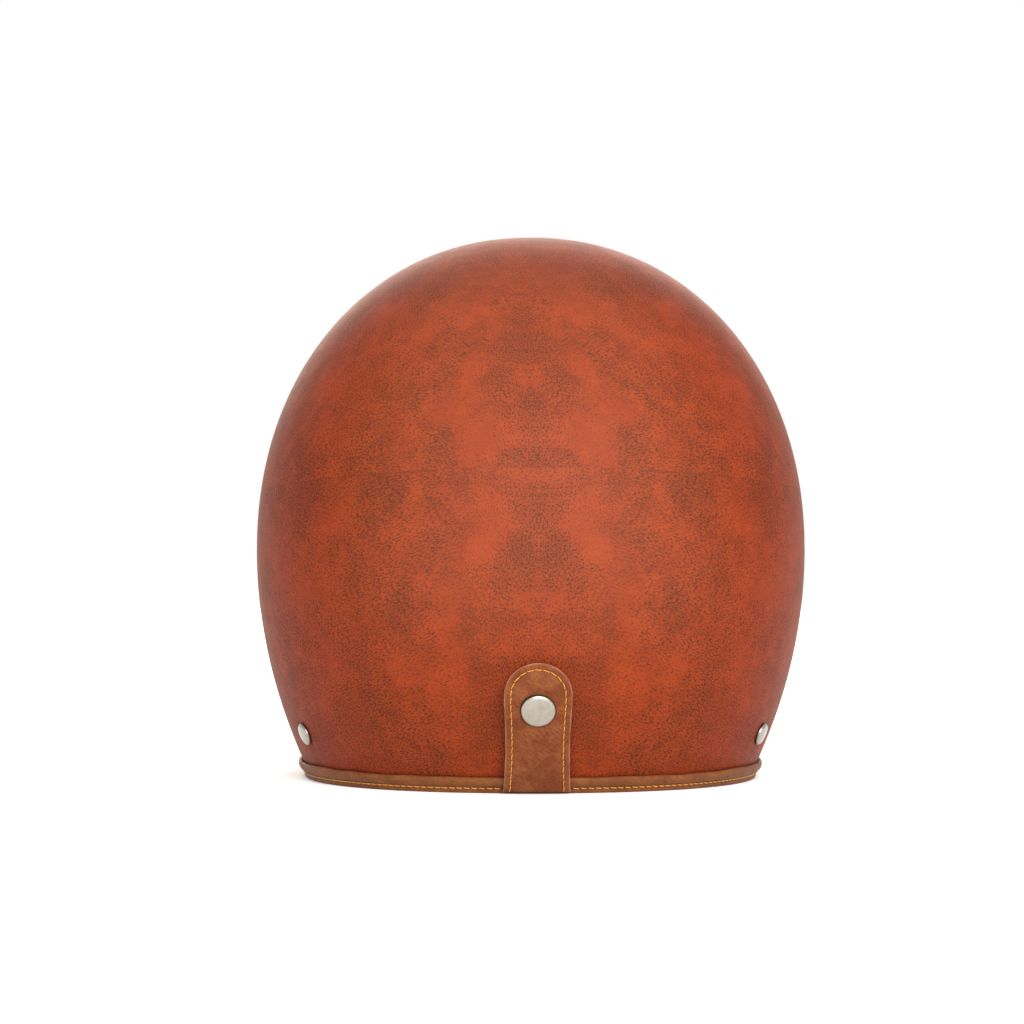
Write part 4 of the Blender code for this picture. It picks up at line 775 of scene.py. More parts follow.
def make_trim():
    edge, out, into = trim_lines(edge_path(SHELL_EDGE, 760))
    distance, _ = walked(edge, True)
    turn = math.tau * distance[:-1] / distance[-1]

    def waver(cycles, seed):
        return ripple(turn, math.tau / cycles, seed)

    crease = np.clip(waver(31, 2.0) - 0.75, 0.0, 1.0) + np.clip(waver(47, 5.0) - 0.9, 0.0, 1.0)
    rows, hollow_shades = [], []
    for away, up, hollow in TRIM_SECTION:
        padding = max(0.0, 1.0 - ((up - 4.4) / 2.4) ** 2) if away > 0.1 else 0.0
        top = 1.0 if up > 5.5 and away > 0 else 0.0
        outwards = away + padding * (0.16 * waver(19, 0.4) - 0.55 * crease)
        upwards = up + top * (0.28 * waver(13, 3.0) + 0.12 * waver(41, 1.0))
        line = edge + (out * outwards[:, None] + into * upwards[:, None]) * MM
        line[:, 2] = np.maximum(line[:, 2], 0.0)
        rows.append(line)
        # Painted shade in the recesses, and in the creases of the padding
        hollow_shades.append(np.clip(hollow + 0.5 * padding * crease, 0.0, 1.0))
    rows, hollow_shades = np.array(rows).transpose(1, 0, 2), np.array(hollow_shades).T
    shape = Shape().grid(rows, looped=True, hollow=hollow_shades)
    piece("trim_band", shape, TRIM_LEATHER, "helmet", "trim_leather", "edge_trim", sharp=70)

    # Of the two rows of stitches, the outer one stops at the tab
    for name, away, way in (("trim_stitches", 1.5, 1.0), ("trim_inner_stitches", -5.95, -1.0)):
        spots, ways = edge + (out * away + into * GROOVE_HEIGHT) * MM, out * way
        stops = name == "trim_stitches"
        if stops:
            x, y, z = spots.T / MM
            keep = ~((np.abs(x) < TAB_HALF - 0.1) & (y > 100) & (z < 20))
            first = int(np.argmax(~keep & np.roll(keep, 1)))
            order = (np.arange(len(keep)) + first) % len(keep)
            order = order[keep[order]]
            spots, ways = spots[order], ways[order]
        stitches = sewing(spots, ways, closed=not stops)
        piece(name, stitches, GOLD_THREAD, "helmet", "trim_leather")


# The rear tab and its press stud

# The tab's section runs from its back round its edge to the middle of its front: the inset and
# the lift, how much painted shade its recesses get, and how pale its cut edge is
TAB_GROOVE = 2.75
TAB_SECTION = (
    (0.75, 0.0, 0.2, 0), (0.3, 0.0, 0.5, 0.3), (0.05, 0.35, 0.6, 0.9), (0.0, 1.1, 0.1, 1),
    (0.0, 1.8, 0.1, 1), (0.1, 2.2, 0.0, 0.8), (0.4, 2.45, 0, 0.12), (1.0, 2.52, 0, 0),
    (1.8, 2.46, 0, 0), (2.4, 2.25, 0.15, 0), (TAB_GROOVE, 2.12, 0.35, 0), (3.1, 2.25, 0.15, 0),
    (3.9, 2.5, 0, 0), (5.8, 2.62, 0, 0), (7.6, TAB_THICK, 0, 0), (9.6, TAB_THICK, 0, 0),
    (11.8, TAB_THICK, 0, 0),
)


def rear_point(x, height, standoff):
    """The point behind the shell at a width, height and level standoff, in millimetres."""
    half_width, _, rear = plan_sizes(height * MM, -standoff * MM)
    y = rear * (1.0 - (abs(x) * MM / half_width) ** PLAN_POWER) ** (1.0 / PLAN_POWER)
    return np.array([x * MM, CROWN_Y + y, height * MM])


def tab_line(inset, lift=0.0, waver=0.0, steps=26):
    """Points round the tab, up one side with its slight waist, over the round top and down
    the other side. Above the press stud the tab leans in to the shell."""
    straight_top, half, reach = TAB_TOP - TAB_ROUND, TAB_HALF - inset, TAB_ROUND - inset
    side = []
    for k in range(steps):
        height = TAB_FOOT + (straight_top - TAB_FOOT) * k / steps
        side.append((0.75 * math.sin(math.pi * min(height / TAB_SNAP, 1.0)) - half, height))
    for k in range(18):
        angle = math.pi * k / 36
        side.append((-half * math.cos(angle), straight_top + reach * math.sin(angle)))
    line = side + [(0.0, straight_top + reach)] + [(-x, h) for x, h in reversed(side)]
    points = []
    for x, height in line:
        eased = min(max((height - TAB_SNAP - 5.8) / TAB_ROUND, 0.0), 1.0)
        standoff = TAB_OFF - 2.8 * eased + lift + waver * ripple(height, 23.0, x * 0.1)
        points.append(rear_point(x, height, standoff))
    return points


def make_tab():
    """One tongue of leather with rounded, pale cut edges, drawn down round its stitch line."""
    rows = [tab_line(11.8), tab_line(6.0)]
    rows += [tab_line(inset, lift, 0.12 * (inset > 3)) for inset, lift, _, _ in TAB_SECTION]
    rows = np.array(rows)
    count, columns = rows.shape[:2]
    # Painted shade on the tab's back, at its edges and in its stitch groove, and the pale cut edge
    dark, pale = np.array(TAB_SECTION).T[2:]
    hollow = np.concatenate([[0.3, 0.3], dark])[:, None]
    frayed = 0.75 + 0.25 * np.sin(7.0 * np.arange(columns))
    cut = np.concatenate([[0.0, 0.0], pale])[:, None] * frayed
    # Each row runs up one side and down the other, so its two ends are bridged across the foot
    shape = Shape().grid(rows, closed=False, hollow=hollow, cut=cut)
    for start in (0, (count - 1) * columns):
        end = start + columns - 1
        for k in range(columns // 2):
            a, b, c, d = start + k, start + k + 1, end - k - 1, end - k
            shape.faces.append((a, b, c, d) if b != c else (a, b, d))
    starts = [row * columns for row in range(count)]
    shape.faces.append(tuple(starts + [start + columns - 1 for start in reversed(starts)]))
    tab = piece("tab_leather", shape, TAB_LEATHER, None, "trim_leather", "rear_tab", sharp=60)
    spots = np.array(tab_line(TAB_GROOVE, 2.22, steps=40))
    ways = surface_normal(np.arctan2(spots[:, 0], CROWN_Y - spots[:, 1]), spots[:, 2])
    shape = sewing(spots, ways, 3.35, 3.05, 0.22, closed=False)
    stitches = piece("tab_stitches", shape, GOLD_THREAD, None, "trim_leather")
    foot = rear_point(0.0, 1.7, 5.3)
    for part in (tab, stitches):
        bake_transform(part)


def make_tab_snap():
    place = shell_frame(180.0, TAB_SNAP * MM)
    lean = surface_normal(math.pi, TAB_SNAP * MM)[1]
    top, bottom = (TAB_OFF + TAB_THICK) * lean, TAB_OFF * lean - 0.5

    def over_leather(*profile):
        return [(radius, top + height) for radius, height in profile]

    disc = over_leather(
        (0.0, 1.75), (1.8, 1.73), (3.6, 1.66), (5.2, 1.5), (6.2, 1.3), (6.8, 1.05), (7.1, 0.75),
        (7.2, 0.45), (7.15, 0.2), (6.9, 0.06), (6.6, -0.1), (2.0, -0.1))
    # Painted shade under the cap's rolled rim
    turned("tab_cap_disc", disc + [(2.0, 3.5), (0.0, 3.5)], place, 72, CAP_METAL, "tab",
           "bright_metal", "tab_cap", hollow=[0] * 7 + [0.15, 0.7, 1, 1, 1, 0, 0])
    # Painted shadow: a near-black disc set a little up and to the left under the cap, showing as a
    # dark crescent at its upper edge
    plate = over_leather((6.0, -0.2), (7.4, -0.2), (7.5, 0.02), (7.3, 0.2), (6.0, 0.2))
    aside = place @ Matrix.Translation((-0.2 * MM, 0.22 * MM, 0.0))
    turned("tab_cap_shadow_disc", plate, aside, 72, CAP_METAL, "tab", "bright_metal",
           hollow=[1.0] * 5)
    # Painted shadow: the leather dent round the cap is darkened
    dent = over_leather(
        (6.3, -0.4), (7.5, -0.4), (7.85, -0.02), (7.55, 0.16), (7.2, 0.1), (6.3, -0.1))
    turned("tab_cap_seat", dent, place, 72, TAB_LEATHER, "tab", "trim_leather",
           hollow=[0.9, 0.9, 0.5, 0.75, 0.95, 1])
    ring = [(2.5, bottom), (5.8, bottom), (5.8, bottom - 1.5), (2.5, bottom - 1.5), (2.5, bottom)]
    turned("tab_snap_socket", rounded(ring)[:-1], place, 40, STUD_METAL, "tab", "bright_metal",
           "tab_socket")


# Rivets and press studs

def make_rivets():
    profile = [
        (0.0, 2.4), (1.4, 2.35), (2.7, 2.2), (3.7, 1.98), (4.35, 1.72), (4.75, 1.36), (4.98, 0.9),
        (5.05, 0.4), (4.95, 0.12), (4.6, 0.05), (2.4, 0.05), (2.4, -9.4), (4.0, -9.4),
        (4.0, -10.2), (3.4, -10.8), (0.0, -11.0),
    ]
    # Painted shade on the lower edge of the domed head and under it
    hollow = [0] * 5 + [0.05, 0.35, 0.65, 0.9, 1, 1, 0.6, 0, 0, 0, 0]
    for word, side in SIDES:
        place = shell_frame(side * ANCHOR_TURN, ANCHOR_HEIGHT)
        turned(f"rivet_{word}", profile, place, 56, STUD_METAL, "helmet", "bright_metal",
               f"strap_rivet_{word}", hollow=hollow)


def make_brow_studs():
    profile = [
        (0.0, 3.9), (0.9, 3.95), (1.2, 4.25), (1.9, 4.4), (2.6, 4.3), (3.0, 3.9), (3.05, 3.4),
        (2.9, 3.0), (2.65, 2.6), (2.6, 1.9), (2.8, 1.45), (3.4, 1.15), (4.6, 1.05), (4.95, 0.85),
        (5.05, 0.5), (4.9, 0.1), (1.8, 0.1), (1.8, -6.0), (0.0, -6.0),
    ]
    # Painted shade in the dimple on top, at the waist and under the flange
    hollow = [0.7, 0.5, 0.1] + [0] * 6 + [0.35, 0.3] + [0] * 3 + [0.3, 0.9, 1, 0, 0]
    for word, turn in (("left", 1), ("centre", 0), ("right", -1)):
        place = shell_frame(turn * BROW_STUD_TURN, BROW_STUD_HEIGHT)
        turned(f"brow_stud_turned_{word}", profile, place, 48, STUD_METAL, "helmet",
               "bright_metal", f"brow_stud_{word}", hollow=hollow)


# Foam, lining and neck roll

# How far the lining's hem reaches below the foam's edge
LINING_DROP = LINER_GAP + 4.5 * MM


def make_foam():
    path = edge_path(LINER_EDGE, 220)
    outer = [layer_ring(path, FOAM_DEPTH, k / 22) for k in range(1, 22)]
    rim = [layer_ring(path, depth * MM, 1.0, beyond * MM) for depth, beyond in
           ((5.6, -1.2), (6.2, -0.3), (8.5, 0.0), (18.0, 0.0), (28.0, 0.0), (33.0, -0.3))]
    inner = [layer_ring(path, FOAM_FACE, k / 14) for k in range(13, 0, -1)]
    shape = Shape().grid(outer + rim + inner, poles=pole_points(FOAM_DEPTH, FOAM_FACE))
    piece("foam_liner", shape, FOAM, "helmet", "impact_foam", "impact_liner")


def quilt(points):
    """How puffed a quilted place is, from 0 in a seam to 1 in the middle of a diamond. The
    diamonds stand upright round the sides and are laid flat over the crown."""
    round_radius, climb_per_degree, side_pitch, crown_pitch = 84.0, 1.5, 26.4, 30.0
    x, y, z = (points - (0.0, CROWN_Y, 0.0)).T / MM
    arc = np.arctan2(x, -y) * round_radius
    climb = np.degrees(np.arctan2(z - WIDEST / MM, np.hypot(x, y))) * climb_per_degree

    def puff(first, second, pitch):
        waves = np.abs(np.sin(first * math.pi / pitch)) * np.abs(np.sin(second * math.pi / pitch))
        return waves ** 0.45

    side, crown = puff(arc + climb, arc - climb, side_pitch), puff(x + y, x - y, crown_pitch)
    top = np.clip((z - 150.0) / 26.0, 0.0, 1.0)
    return side * (1 - top) + crown * top


def make_lining():
    columns, quilted = 420, 84
    path = edge_path(LINER_EDGE, columns)
    rows = [layer_ring(path, LINER_BACK, k / 8) for k in range(1, 9)]
    rows += [layer_ring(path, depth, 1.0, LINER_GAP) for depth in (LINER_BACK, 8.3 * MM)]
    # The hem under the foam: its depths, and how far it stays above the lowest line
    hem = ((8.0, 1.0), (8.6, 0.4), (10.0, 0.0), (18.0, -0.2), (26.0, -0.3), (34.0, -0.3),
           (40.0, 0.0), (42.6, 0.6), (43.6, 1.6), (44.2, 3.0))
    rows += [layer_ring(path, depth * MM, 1.0, LINING_DROP - dip * MM) for depth, dip in hem]
    hollow_shades = [np.zeros(columns)] * len(rows)
    for k in range(quilted, 0, -1):
        from_edge = quilted + 1 - k
        base = layer_ring(path, LINER_FACE, k / (quilted + 1))
        puff = quilt(base)
        border = min(from_edge / 7.0, 1.0) * min(k / 6.0, 1.0)
        edge_bead = math.exp(-((from_edge - 3.5) / 1.6) ** 2)
        sink = ((puff - 0.75) * 2.6 * border - edge_bead * 0.9) * MM
        rows.append(base - unit(base - CENTRE) * sink[:, None])
        # Painted shade: the quilting's seams and the groove by its edge bead are darkened
        hollow_shades.append(np.clip(1.0 - puff * 2.4, 0.0, 1.0) * border + 0.7 * edge_bead)
    poles = pole_points(LINER_BACK, LINER_FACE)
    shape = Shape().grid(rows, poles=poles, hollow=np.array(hollow_shades))
    lining = mesh_of("quilted_lining", shape, LINING, 80)
    fit(lining, "helmet", "liner_fabric", "comfort_liner")

    ring = layer_ring(path, 42.2 * MM, 1.0, LINING_DROP + 0.2 * MM)
    binding = tube(Shape(), ring, 1.7 * MM, sides=12, closed=True, up=unit(ring - CENTRE))
    piece("lining_piping", binding, PAD_LEATHER, "helmet", "pad_leather")


def evaluated(obj):
    return obj.evaluated_get(bpy.context.evaluated_depsgraph_get())


def swollen(name, shape, voxel, cap, pinned):
    """The shape as a stuffed skin: remeshed, blown up by cloth pressure between its pinned
    seams, and smoothed. No point moves further than cap."""
    scene = bpy.context.scene
    start = bpy.data.objects.new(name + "_start", bpy.data.meshes.new(name + "_start"))
    start.data.from_pydata(shape.verts, [], shape.faces)
    turn_outwards(start.data)
    scene.collection.objects.link(start)
    remesh = start.modifiers.new("even", "REMESH")
    remesh.mode, remesh.voxel_size = "VOXEL", voxel
    mesh = bpy.data.meshes.new_from_object(evaluated(start))
    bpy.data.objects.remove(start, do_unlink=True)
    skin = bpy.data.objects.new(name + "_skin", mesh)
    scene.collection.objects.link(skin)
    rest = np.array([v.co for v in mesh.vertices])
    cloth = skin.modifiers.new("cloth", "CLOTH")
    settings = cloth.settings
    settings.quality = 6
    settings.use_pressure, settings.uniform_pressure_force = True, 4.0
    settings.effector_weights.gravity = 0.0
    settings.shrink_min = -0.05
    group = skin.vertex_groups.new(name="seam")
    for index, share in enumerate(pinned(rest)):
        if share > 0:
            group.add([index], float(share), "REPLACE")
    settings.vertex_group_mass = "seam"
    for step in range(1, 21):
        scene.frame_set(step)
    moved = np.array([v.co for v in evaluated(skin).data.vertices]) - rest
    reach = np.linalg.norm(moved, axis=1, keepdims=True)
    rest = rest + moved * np.minimum(1.0, cap / np.maximum(reach, 1e-9))
    skin.modifiers.remove(cloth)
    scene.frame_set(1)
    mesh.vertices.foreach_set("co", rest.reshape(-1))
    smooth = skin.modifiers.new("finer", "SUBSURF")
    smooth.levels = smooth.render_levels = 1
    fine = bpy.data.meshes.new_from_object(evaluated(skin))
    bpy.data.objects.remove(skin, do_unlink=True)
    verts = [tuple(v.co) for v in fine.vertices]
    faces = [tuple(face.vertices) for face in fine.polygons]
    return Shape().add(verts, faces)


def make_neck_roll():
    """A padded leather roll behind the nape, with a piped seam along its lower front."""
    depth, foot, radius = 20.5 * MM, 9 * MM, 9 * MM
    edge_height = EDGE_HEIGHT + LINER_EDGE[-1][1] * (BROW - EDGE_HEIGHT)
    rise = -depth * surface_normal(math.pi, edge_height)[2]
    half = (edge_height + rise - LINER_GAP - LINING_DROP - foot) / 2
    steps, sides = 96, 36
    angles = math.tau * np.arange(sides) / sides
    c, s = np.cos(angles), np.sin(angles)
    seam_angle = math.radians(-52)
    rows, hollow_shades, seam, seam_out = [], [], [], []
    for k in range(steps + 1):
        share = min(k, steps - k) / 14.0
        scale = math.sqrt(max(1.0 - (1.0 - min(share, 1.0)) ** 2, 0.0)) * 0.98 + 0.02
        azimuth = math.radians(180.0 + 38.0 * (2 * k / steps - 1))
        along = k / steps * 180.0
        fold = 0.35 * ripple(along + 6 * s, 21.0, 1.0) + 0.2 * ripple(along - 9 * c, 9.0, 4.0)
        heights = foot + half * (1 + scale * s * 0.99)
        rows.append(surface_point(azimuth, heights, depth + scale * (radius + fold * MM) * c))
        # Painted shade in the folds of the cover
        hollow_shades.append(np.clip(-fold * 0.5, 0.0, 0.4))
        if 0 < k < steps:
            away = scale * (radius * math.cos(seam_angle) + 0.5 * MM)
            height = foot + half * (1 + scale * math.sin(seam_angle))
            seam.append(surface_point(azimuth, height, depth + away))
            seam_out.append(-surface_normal(azimuth, foot + half) * 0.62 - np.array([0, 0, 0.78]))
    shape = Shape().grid(rows, caps=True, hollow=np.array(hollow_shades))
    roll = mesh_of("neck_roll_cover", shape, PAD_LEATHER, 70)
    fit(roll, "helmet", "pad_leather", "neck_roll")
    seam, seam_out = np.array(seam), np.array(seam_out)
    piping = tube(Shape(), seam, 1.2 * MM, up=seam_out)
    piece("neck_roll_piping", piping, PAD_LEATHER, "helmet", "pad_leather")
    above = seam + (0.0, 0.0, 2.6 * MM) + seam_out * (0.3 * MM)
    stitches = sewing(above[3:-3], seam_out[3:-3], closed=False)
    piece("neck_roll_stitches", stitches, GOLD_THREAD, "helmet", "pad_leather")


# Cheek blocks, boards and pads

# Half sizes, and how far to the front the middle is, in millimetres
PAD_HALF_LENGTH, PAD_HALF_HEIGHT, PAD_OFFSET = 47.0, 35.0, 4.0
BLOCK_HALF_LENGTH, BLOCK_HALF_HEIGHT = 36.0, 34.0

# A pad lies on its board, and the board on its studs, with gaps between
CHEEK_STUD_BASE, BOARD_THICK = 0.8 * MM, 1.6 * MM
PAD_BACK = GAP + CHEEK_STUD_BASE + GAP + BOARD_THICK + GAP
PAD_EDGE = PAD_BACK + 8 * MM
PAD_TOP = PAD_BACK + 22 * MM


def cheek_frame(side):
    """The middle of a cheek block's face, and the ways to its front, up and inwards."""
    azimuth, height = math.radians(88.0), 46 * MM
    origin = surface_point(azimuth, height) - surface_normal(azimuth, height) * 20 * MM
    pitch, yaw = math.radians(15.0), math.radians(3.0)
    inward = unit(np.array([-math.cos(pitch) * math.cos(yaw), math.sin(yaw), math.sin(pitch)]))
    front = unit(np.cross((0, 0, 1), inward))
    return [v * (side, 1.0, 1.0) for v in (origin, front, np.cross(inward, front), inward)]


def pad_outline(half_length, half_height, steps):
    """Points round a rounded oblong, in millimetres to the front and up."""
    angles = math.tau * np.arange(steps) / steps
    level, up = (np.sign(v) * np.abs(v) ** (2 / 3) for v in (np.cos(angles), np.sin(angles)))
    return np.stack([level * half_length + PAD_OFFSET, up * half_height], axis=1)


def pad_reach(across, up):
    """How far out a place on the pad is, from 0 in its middle to 1 at its rim."""
    level, tall = (across - PAD_OFFSET) / PAD_HALF_LENGTH, up / PAD_HALF_HEIGHT
    return (np.abs(level) ** 3 + np.abs(tall) ** 3) ** (1 / 3)


def cheek_rows(cheek, outline, layers):
    """Rings of an outline: each layer gives a share of it and the distances inwards in metres."""
    origin, front, up, inward = cheek
    middle = (PAD_OFFSET, 0.0)
    rows = []
    for share, distance in layers:
        spots = ((outline - middle) * share + middle) * MM
        away = np.broadcast_to(distance(spots) if callable(distance) else distance, len(spots))
        rows.append(origin + spots[:, :1] * front + spots[:, 1:] * up + away[:, None] * inward)
    return np.array(rows)


def cheek_poles(cheek, *distances):
    """The points in the middle of rings at some distances inwards."""
    middle = np.array([[PAD_OFFSET, 0.0]])
    return [cheek_rows(cheek, middle, [(1.0, distance)])[0][0] for distance in distances]


def make_cheek_blocks():
    origin, front, up, inward = cheek_frame(1.0)

    def to_shell(spots):
        starts = origin + spots[:, :1] * front + spots[:, 1:] * up
        return -ray_hit(starts, np.broadcast_to(-inward, starts.shape), FOAM_DEPTH)

    layers = [(share, to_shell) for share in (0.12, 0.25, 0.4, 0.55, 0.7, 0.85, 0.97)]
    layers += [(1.0, lambda spots: to_shell(spots) + 1.2 * MM), (1.0, -6 * MM), (1.0, -1.0 * MM),
               (0.985, -0.2 * MM), (0.95, 0.0), (0.6, 0.0), (0.3, 0.0)]
    outline = pad_outline(BLOCK_HALF_LENGTH, BLOCK_HALF_HEIGHT, 96)
    for word, side in SIDES:
        cheek = cheek_frame(side)
        rows = cheek_rows(cheek, outline, layers)
        shape = Shape().grid(rows, poles=cheek_poles(cheek, to_shell, 0.0))
        piece(f"cheek_foam_{word}", shape, FOAM, "helmet", "impact_foam", f"cheek_block_{word}",
              sharp=60)


def flipped(shape, side):
    """The shape itself, or its mirror image on the other side of the helmet."""
    verts = [(x * side, y, z) for x, y, z in shape.verts]
    return Shape().add(verts, shape.faces, **shape.notes)


def dropped(tree, point, way):
    hit = tree.ray_cast(Vector(point), Vector(way))[0]
    return np.array(hit if hit is not None else point)


def make_cheek_pads():
    """Stuffed leather pads: swollen between a piped rim and a sewn centre panel."""
    left = origin, front, upward, inward = cheek_frame(1.0)
    core_top, piping_at = PAD_TOP - 3.5 * MM, PAD_BACK + 4 * MM
    layers = [(0.5, PAD_BACK), (0.93, PAD_BACK), (0.975, PAD_BACK + 1.2 * MM),
              (0.985, piping_at), (0.975, PAD_EDGE)]
    for share in (0.97, 0.93, 0.87, 0.79, 0.7, 0.6, 0.5, 0.4, 0.3, 0.2, 0.1):
        crown = (1.0 - share ** 2.6) ** 0.62
        layers.append((share * 0.975, PAD_EDGE + (core_top - PAD_EDGE) * crown))
    rows = cheek_rows(left, pad_outline(PAD_HALF_LENGTH, PAD_HALF_HEIGHT, 96), layers)
    core = Shape().grid(rows, poles=cheek_poles(left, PAD_BACK, core_top))

    def local(points):
        return [(points - origin) @ way / MM for way in (front, upward, inward)]

    def held(points):
        across, up, height = local(points)
        back = height < PAD_BACK / MM + 1.5
        rim = (pad_reach(across, up) > 0.93) & (np.abs(height - piping_at / MM) < 3.0)
        return np.where(back | rim, 1.0, 0.0)

    stuffed = swollen("cheek_pad", core, 4.2 * MM, 4.0 * MM, held)
    points = np.array(stuffed.verts)
    across, up, height = local(points)
    reach, facing = pad_reach(across, up), height > PAD_EDGE / MM - 1.0
    seam, beside = (np.exp(-((reach - 0.62) / wide) ** 2) * facing for wide in (0.03, 0.09))
    crimp = 0.5 + 0.5 * np.sin(np.arctan2(up, across - PAD_OFFSET) * 46.0)
    dip = seam * (1.5 + 0.35 * crimp) + beside * crimp * 0.16
    stuffed.verts = [tuple(p) for p in points - dip[:, None] * MM * inward]
    # Painted shade along the panel's sunken seam
    stuffed.notes["hollow"] = list(np.clip(seam * 0.75, 0.0, 1.0))

    outline = pad_outline(PAD_HALF_LENGTH, PAD_HALF_HEIGHT, 260)
    rim = cheek_rows(left, outline, [(1.0, piping_at)])[0]
    rim_out = rim - (origin + front * PAD_OFFSET * MM)
    rim_out = unit(rim_out - (rim_out @ inward)[:, None] * inward)
    piping = tube(Shape(), rim - rim_out * 0.5 * MM, 1.5 * MM, closed=True, up=inward)

    # Two rows of stitches, one on each side of the panel's seam
    verts, faces = [Vector(v) for v in stuffed.verts], [list(f) for f in stuffed.faces]
    tree = BVHTree.FromPolygons(verts, faces)
    threads = Shape()
    lines = [(share, PAD_TOP + 20 * MM) for share in (0.585, 0.655)]
    for line in cheek_rows(left, outline, lines):
        spots = np.array([dropped(tree, point, -inward) for point in line])
        sewing(spots, inward, 3.1, 2.5, 0.27, shape=threads)

    for word, side in SIDES:
        body = f"{word}_cheek_pad"
        pad = mesh_of(f"cheek_cushion_{word}", flipped(stuffed, side), PAD_LEATHER, 80)
        fit(pad, body, "pad_leather", f"cheek_pad_{word}")
        piece(f"cheek_piping_{word}", flipped(piping, side), TRIM_LEATHER, body, "pad_leather")
        piece(f"cheek_stitches_{word}", flipped(threads, side), GOLD_THREAD, body, "pad_leather")


# Chin straps

# The webbing, its hinge at the rim, and how far from the middle plane the short strap ends and
# the long one, past it, folds, all in millimetres
WEBBING_WIDTH, WEBBING_THICK = 25.0, 1.5
HINGE_DEPTH, HINGE_HEIGHT = 13.0, 3.0
SHORT_OF_MIDDLE, PAST_MIDDLE = 40.0, 0.5


class Strap:
    """The places along one chin strap, in millimetres. It hangs from its anchor plate down to
    a hinge at the rim, and from there it is stored lying inwards along the floor."""

    def __init__(self, side):
        self.anchor = shell_frame(side * ANCHOR_TURN, ANCHOR_HEIGHT)
        self.level, up, out = (self.anchor.col[k].xyz for k in range(3))
        start = self.anchor.translation - out * HINGE_DEPTH * MM
        down = (start.z - HINGE_HEIGHT * MM) / up.z
        hinge = start - up * down
        self.foot = down / MM
        self.inward = Vector((0, 0, 1)).cross(self.level)
        self.floor = Vector((hinge.x, hinge.y, 0.0))
        self.end = (abs(hinge.x) / MM - SHORT_OF_MIDDLE) / abs(self.inward.x)
        self.fold = (abs(hinge.x) / MM + PAST_MIDDLE) / abs(self.inward.x)

    def hang(self, depth, drop):
        return np.array(self.anchor @ Vector((0.0, -drop * MM, -depth * MM)))

    def lying(self, along, height, aside=0.0):
        spot = self.floor + self.inward * (along * MM) + Vector((0, 0, height * MM))
        return np.array(spot) + np.array(self.level) * aside * MM


def ribbon(path, across, run=0.0):
    """Webbing along a path: a flat band with soft edges. The run is the webbing before it."""
    path, across = np.asarray(path, float), np.asarray(across, float)
    over = unit(np.cross(across, unit(np.gradient(path, axis=0))))
    half, lift = WEBBING_WIDTH / 2 * MM, WEBBING_THICK / 2 * MM
    soft = lift * 0.8
    section = []
    for corner_x, corner_y, start in ((1, 1, 0), (-1, 1, 90), (-1, -1, 180), (1, -1, 270)):
        for angle in (start, start + 45, start + 90):
            a = math.radians(angle)
            section.append((corner_x * (half - soft) + soft * math.cos(a),
                            corner_y * (lift - soft) + soft * math.sin(a)))
        if corner_x * corner_y > 0:
            section += [(corner_x * half * t, corner_y * lift) for t in (0.6, 0.2, -0.2, -0.6)]
    section = np.array(section)
    rows = path[:, None] + section[:, :1] * across + section[:, 1:] * over[:, None]
    along = walked(path, False)[0][:, None] / MM + run
    return Shape().grid(rows, caps=True, along=along, across=section[:, 0] / MM)


def smooth_path(points):
    """A rounded line through corner points, as a quadratic spline."""
    points = np.asarray(points, float)
    middles = (points[:-1] + points[1:]) / 2
    out = [points[0]]
    for a, b, c in zip(middles, points[1:], middles[1:]):
        for t in np.arange(10) / 10:
            out.append((1 - t) ** 2 * a + 2 * t * (1 - t) * b + t ** 2 * c)
    return np.array(out + [middles[-1], points[-1]])


def strap_sewing(shape, line):
    sewing(np.array(line), (0.0, 0.0, 1.0), 2.2, 1.9, 0.22, closed=False, slant=0.05,
           shape=shape)


def box_stitch(strap, low, high, height):
    """A sewn box with its two diagonals, on a lying strap between two places along it."""
    shape = Shape()
    a, b, c, d = (-10, low), (10, low), (10, high), (-10, high)
    for (x0, y0), (x1, y1) in ((a, b), (b, c), (c, d), (d, a), (a, c), (d, b)):
        count = max(int(math.hypot(x1 - x0, y1 - y0)), 3)
        strap_sewing(shape, [strap.lying(y0 + (y1 - y0) * t, height, x0 + (x1 - x0) * t)
                             for t in np.arange(count + 1) / count])
    return shape


def make_straps():
    for word, side in SIDES:
        strap = Strap(side)
        hang, lying, foot, end, fold = strap.hang, strap.lying, strap.foot, strap.end, strap.fold
        path = [
            hang(10.4, 9.4), hang(8.4, 8.1), hang(6.5, 9.5), hang(6.5, 12.6), hang(8.8, 15.2),
            hang(11.7, 16.3), hang(12.3, 19.0), hang(12.3, foot - 3.2), hang(12.3, foot - 1.0),
            lying(0.9, 1.6), lying(4.5, 1.25),
        ]
        if side > 0:
            # The short strap's loop holds the rings, and its tail is sewn down
            node, sewn = "short_strap", box_stitch(strap, end - 16, end - 9.5, 3.45)
            path += [lying(along, height) for along, height in (
                (14, 1.2), (24, 1.2), (end - 9, 1.2), (end + 3, 1.15), (end + 6.3, 1.4),
                (end + 6.9, 5.0), (end + 5.5, 9.6), (end + 1.5, 10.2), (end - 2.5, 8.0),
                (end - 7.0, 4.1), (end - 12.0, 2.75), (end - 17.0, 2.7))]
        else:
            node, sewn = "long_strap", box_stitch(strap, 6, 15, 2.3)
            path += [lying(along, 1.5) for along in (14, 40, 70, fold - 6, fold - 0.5)]
        band = ribbon(smooth_path(path), strap.level)
        band = piece(f"webbing_{word}", band, WEBBING, None, "strap_webbing",
                     f"strap_root_{word}", node, sharp=60)
        tuple(hang(12.3, foot - 6.0))
        tuple(lying(7.0, 1.4))
        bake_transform(band)
        piece(f"strap_stitches_{word}", sewn, BLACK_THREAD, f"{word}_strap", "strap_webbing")


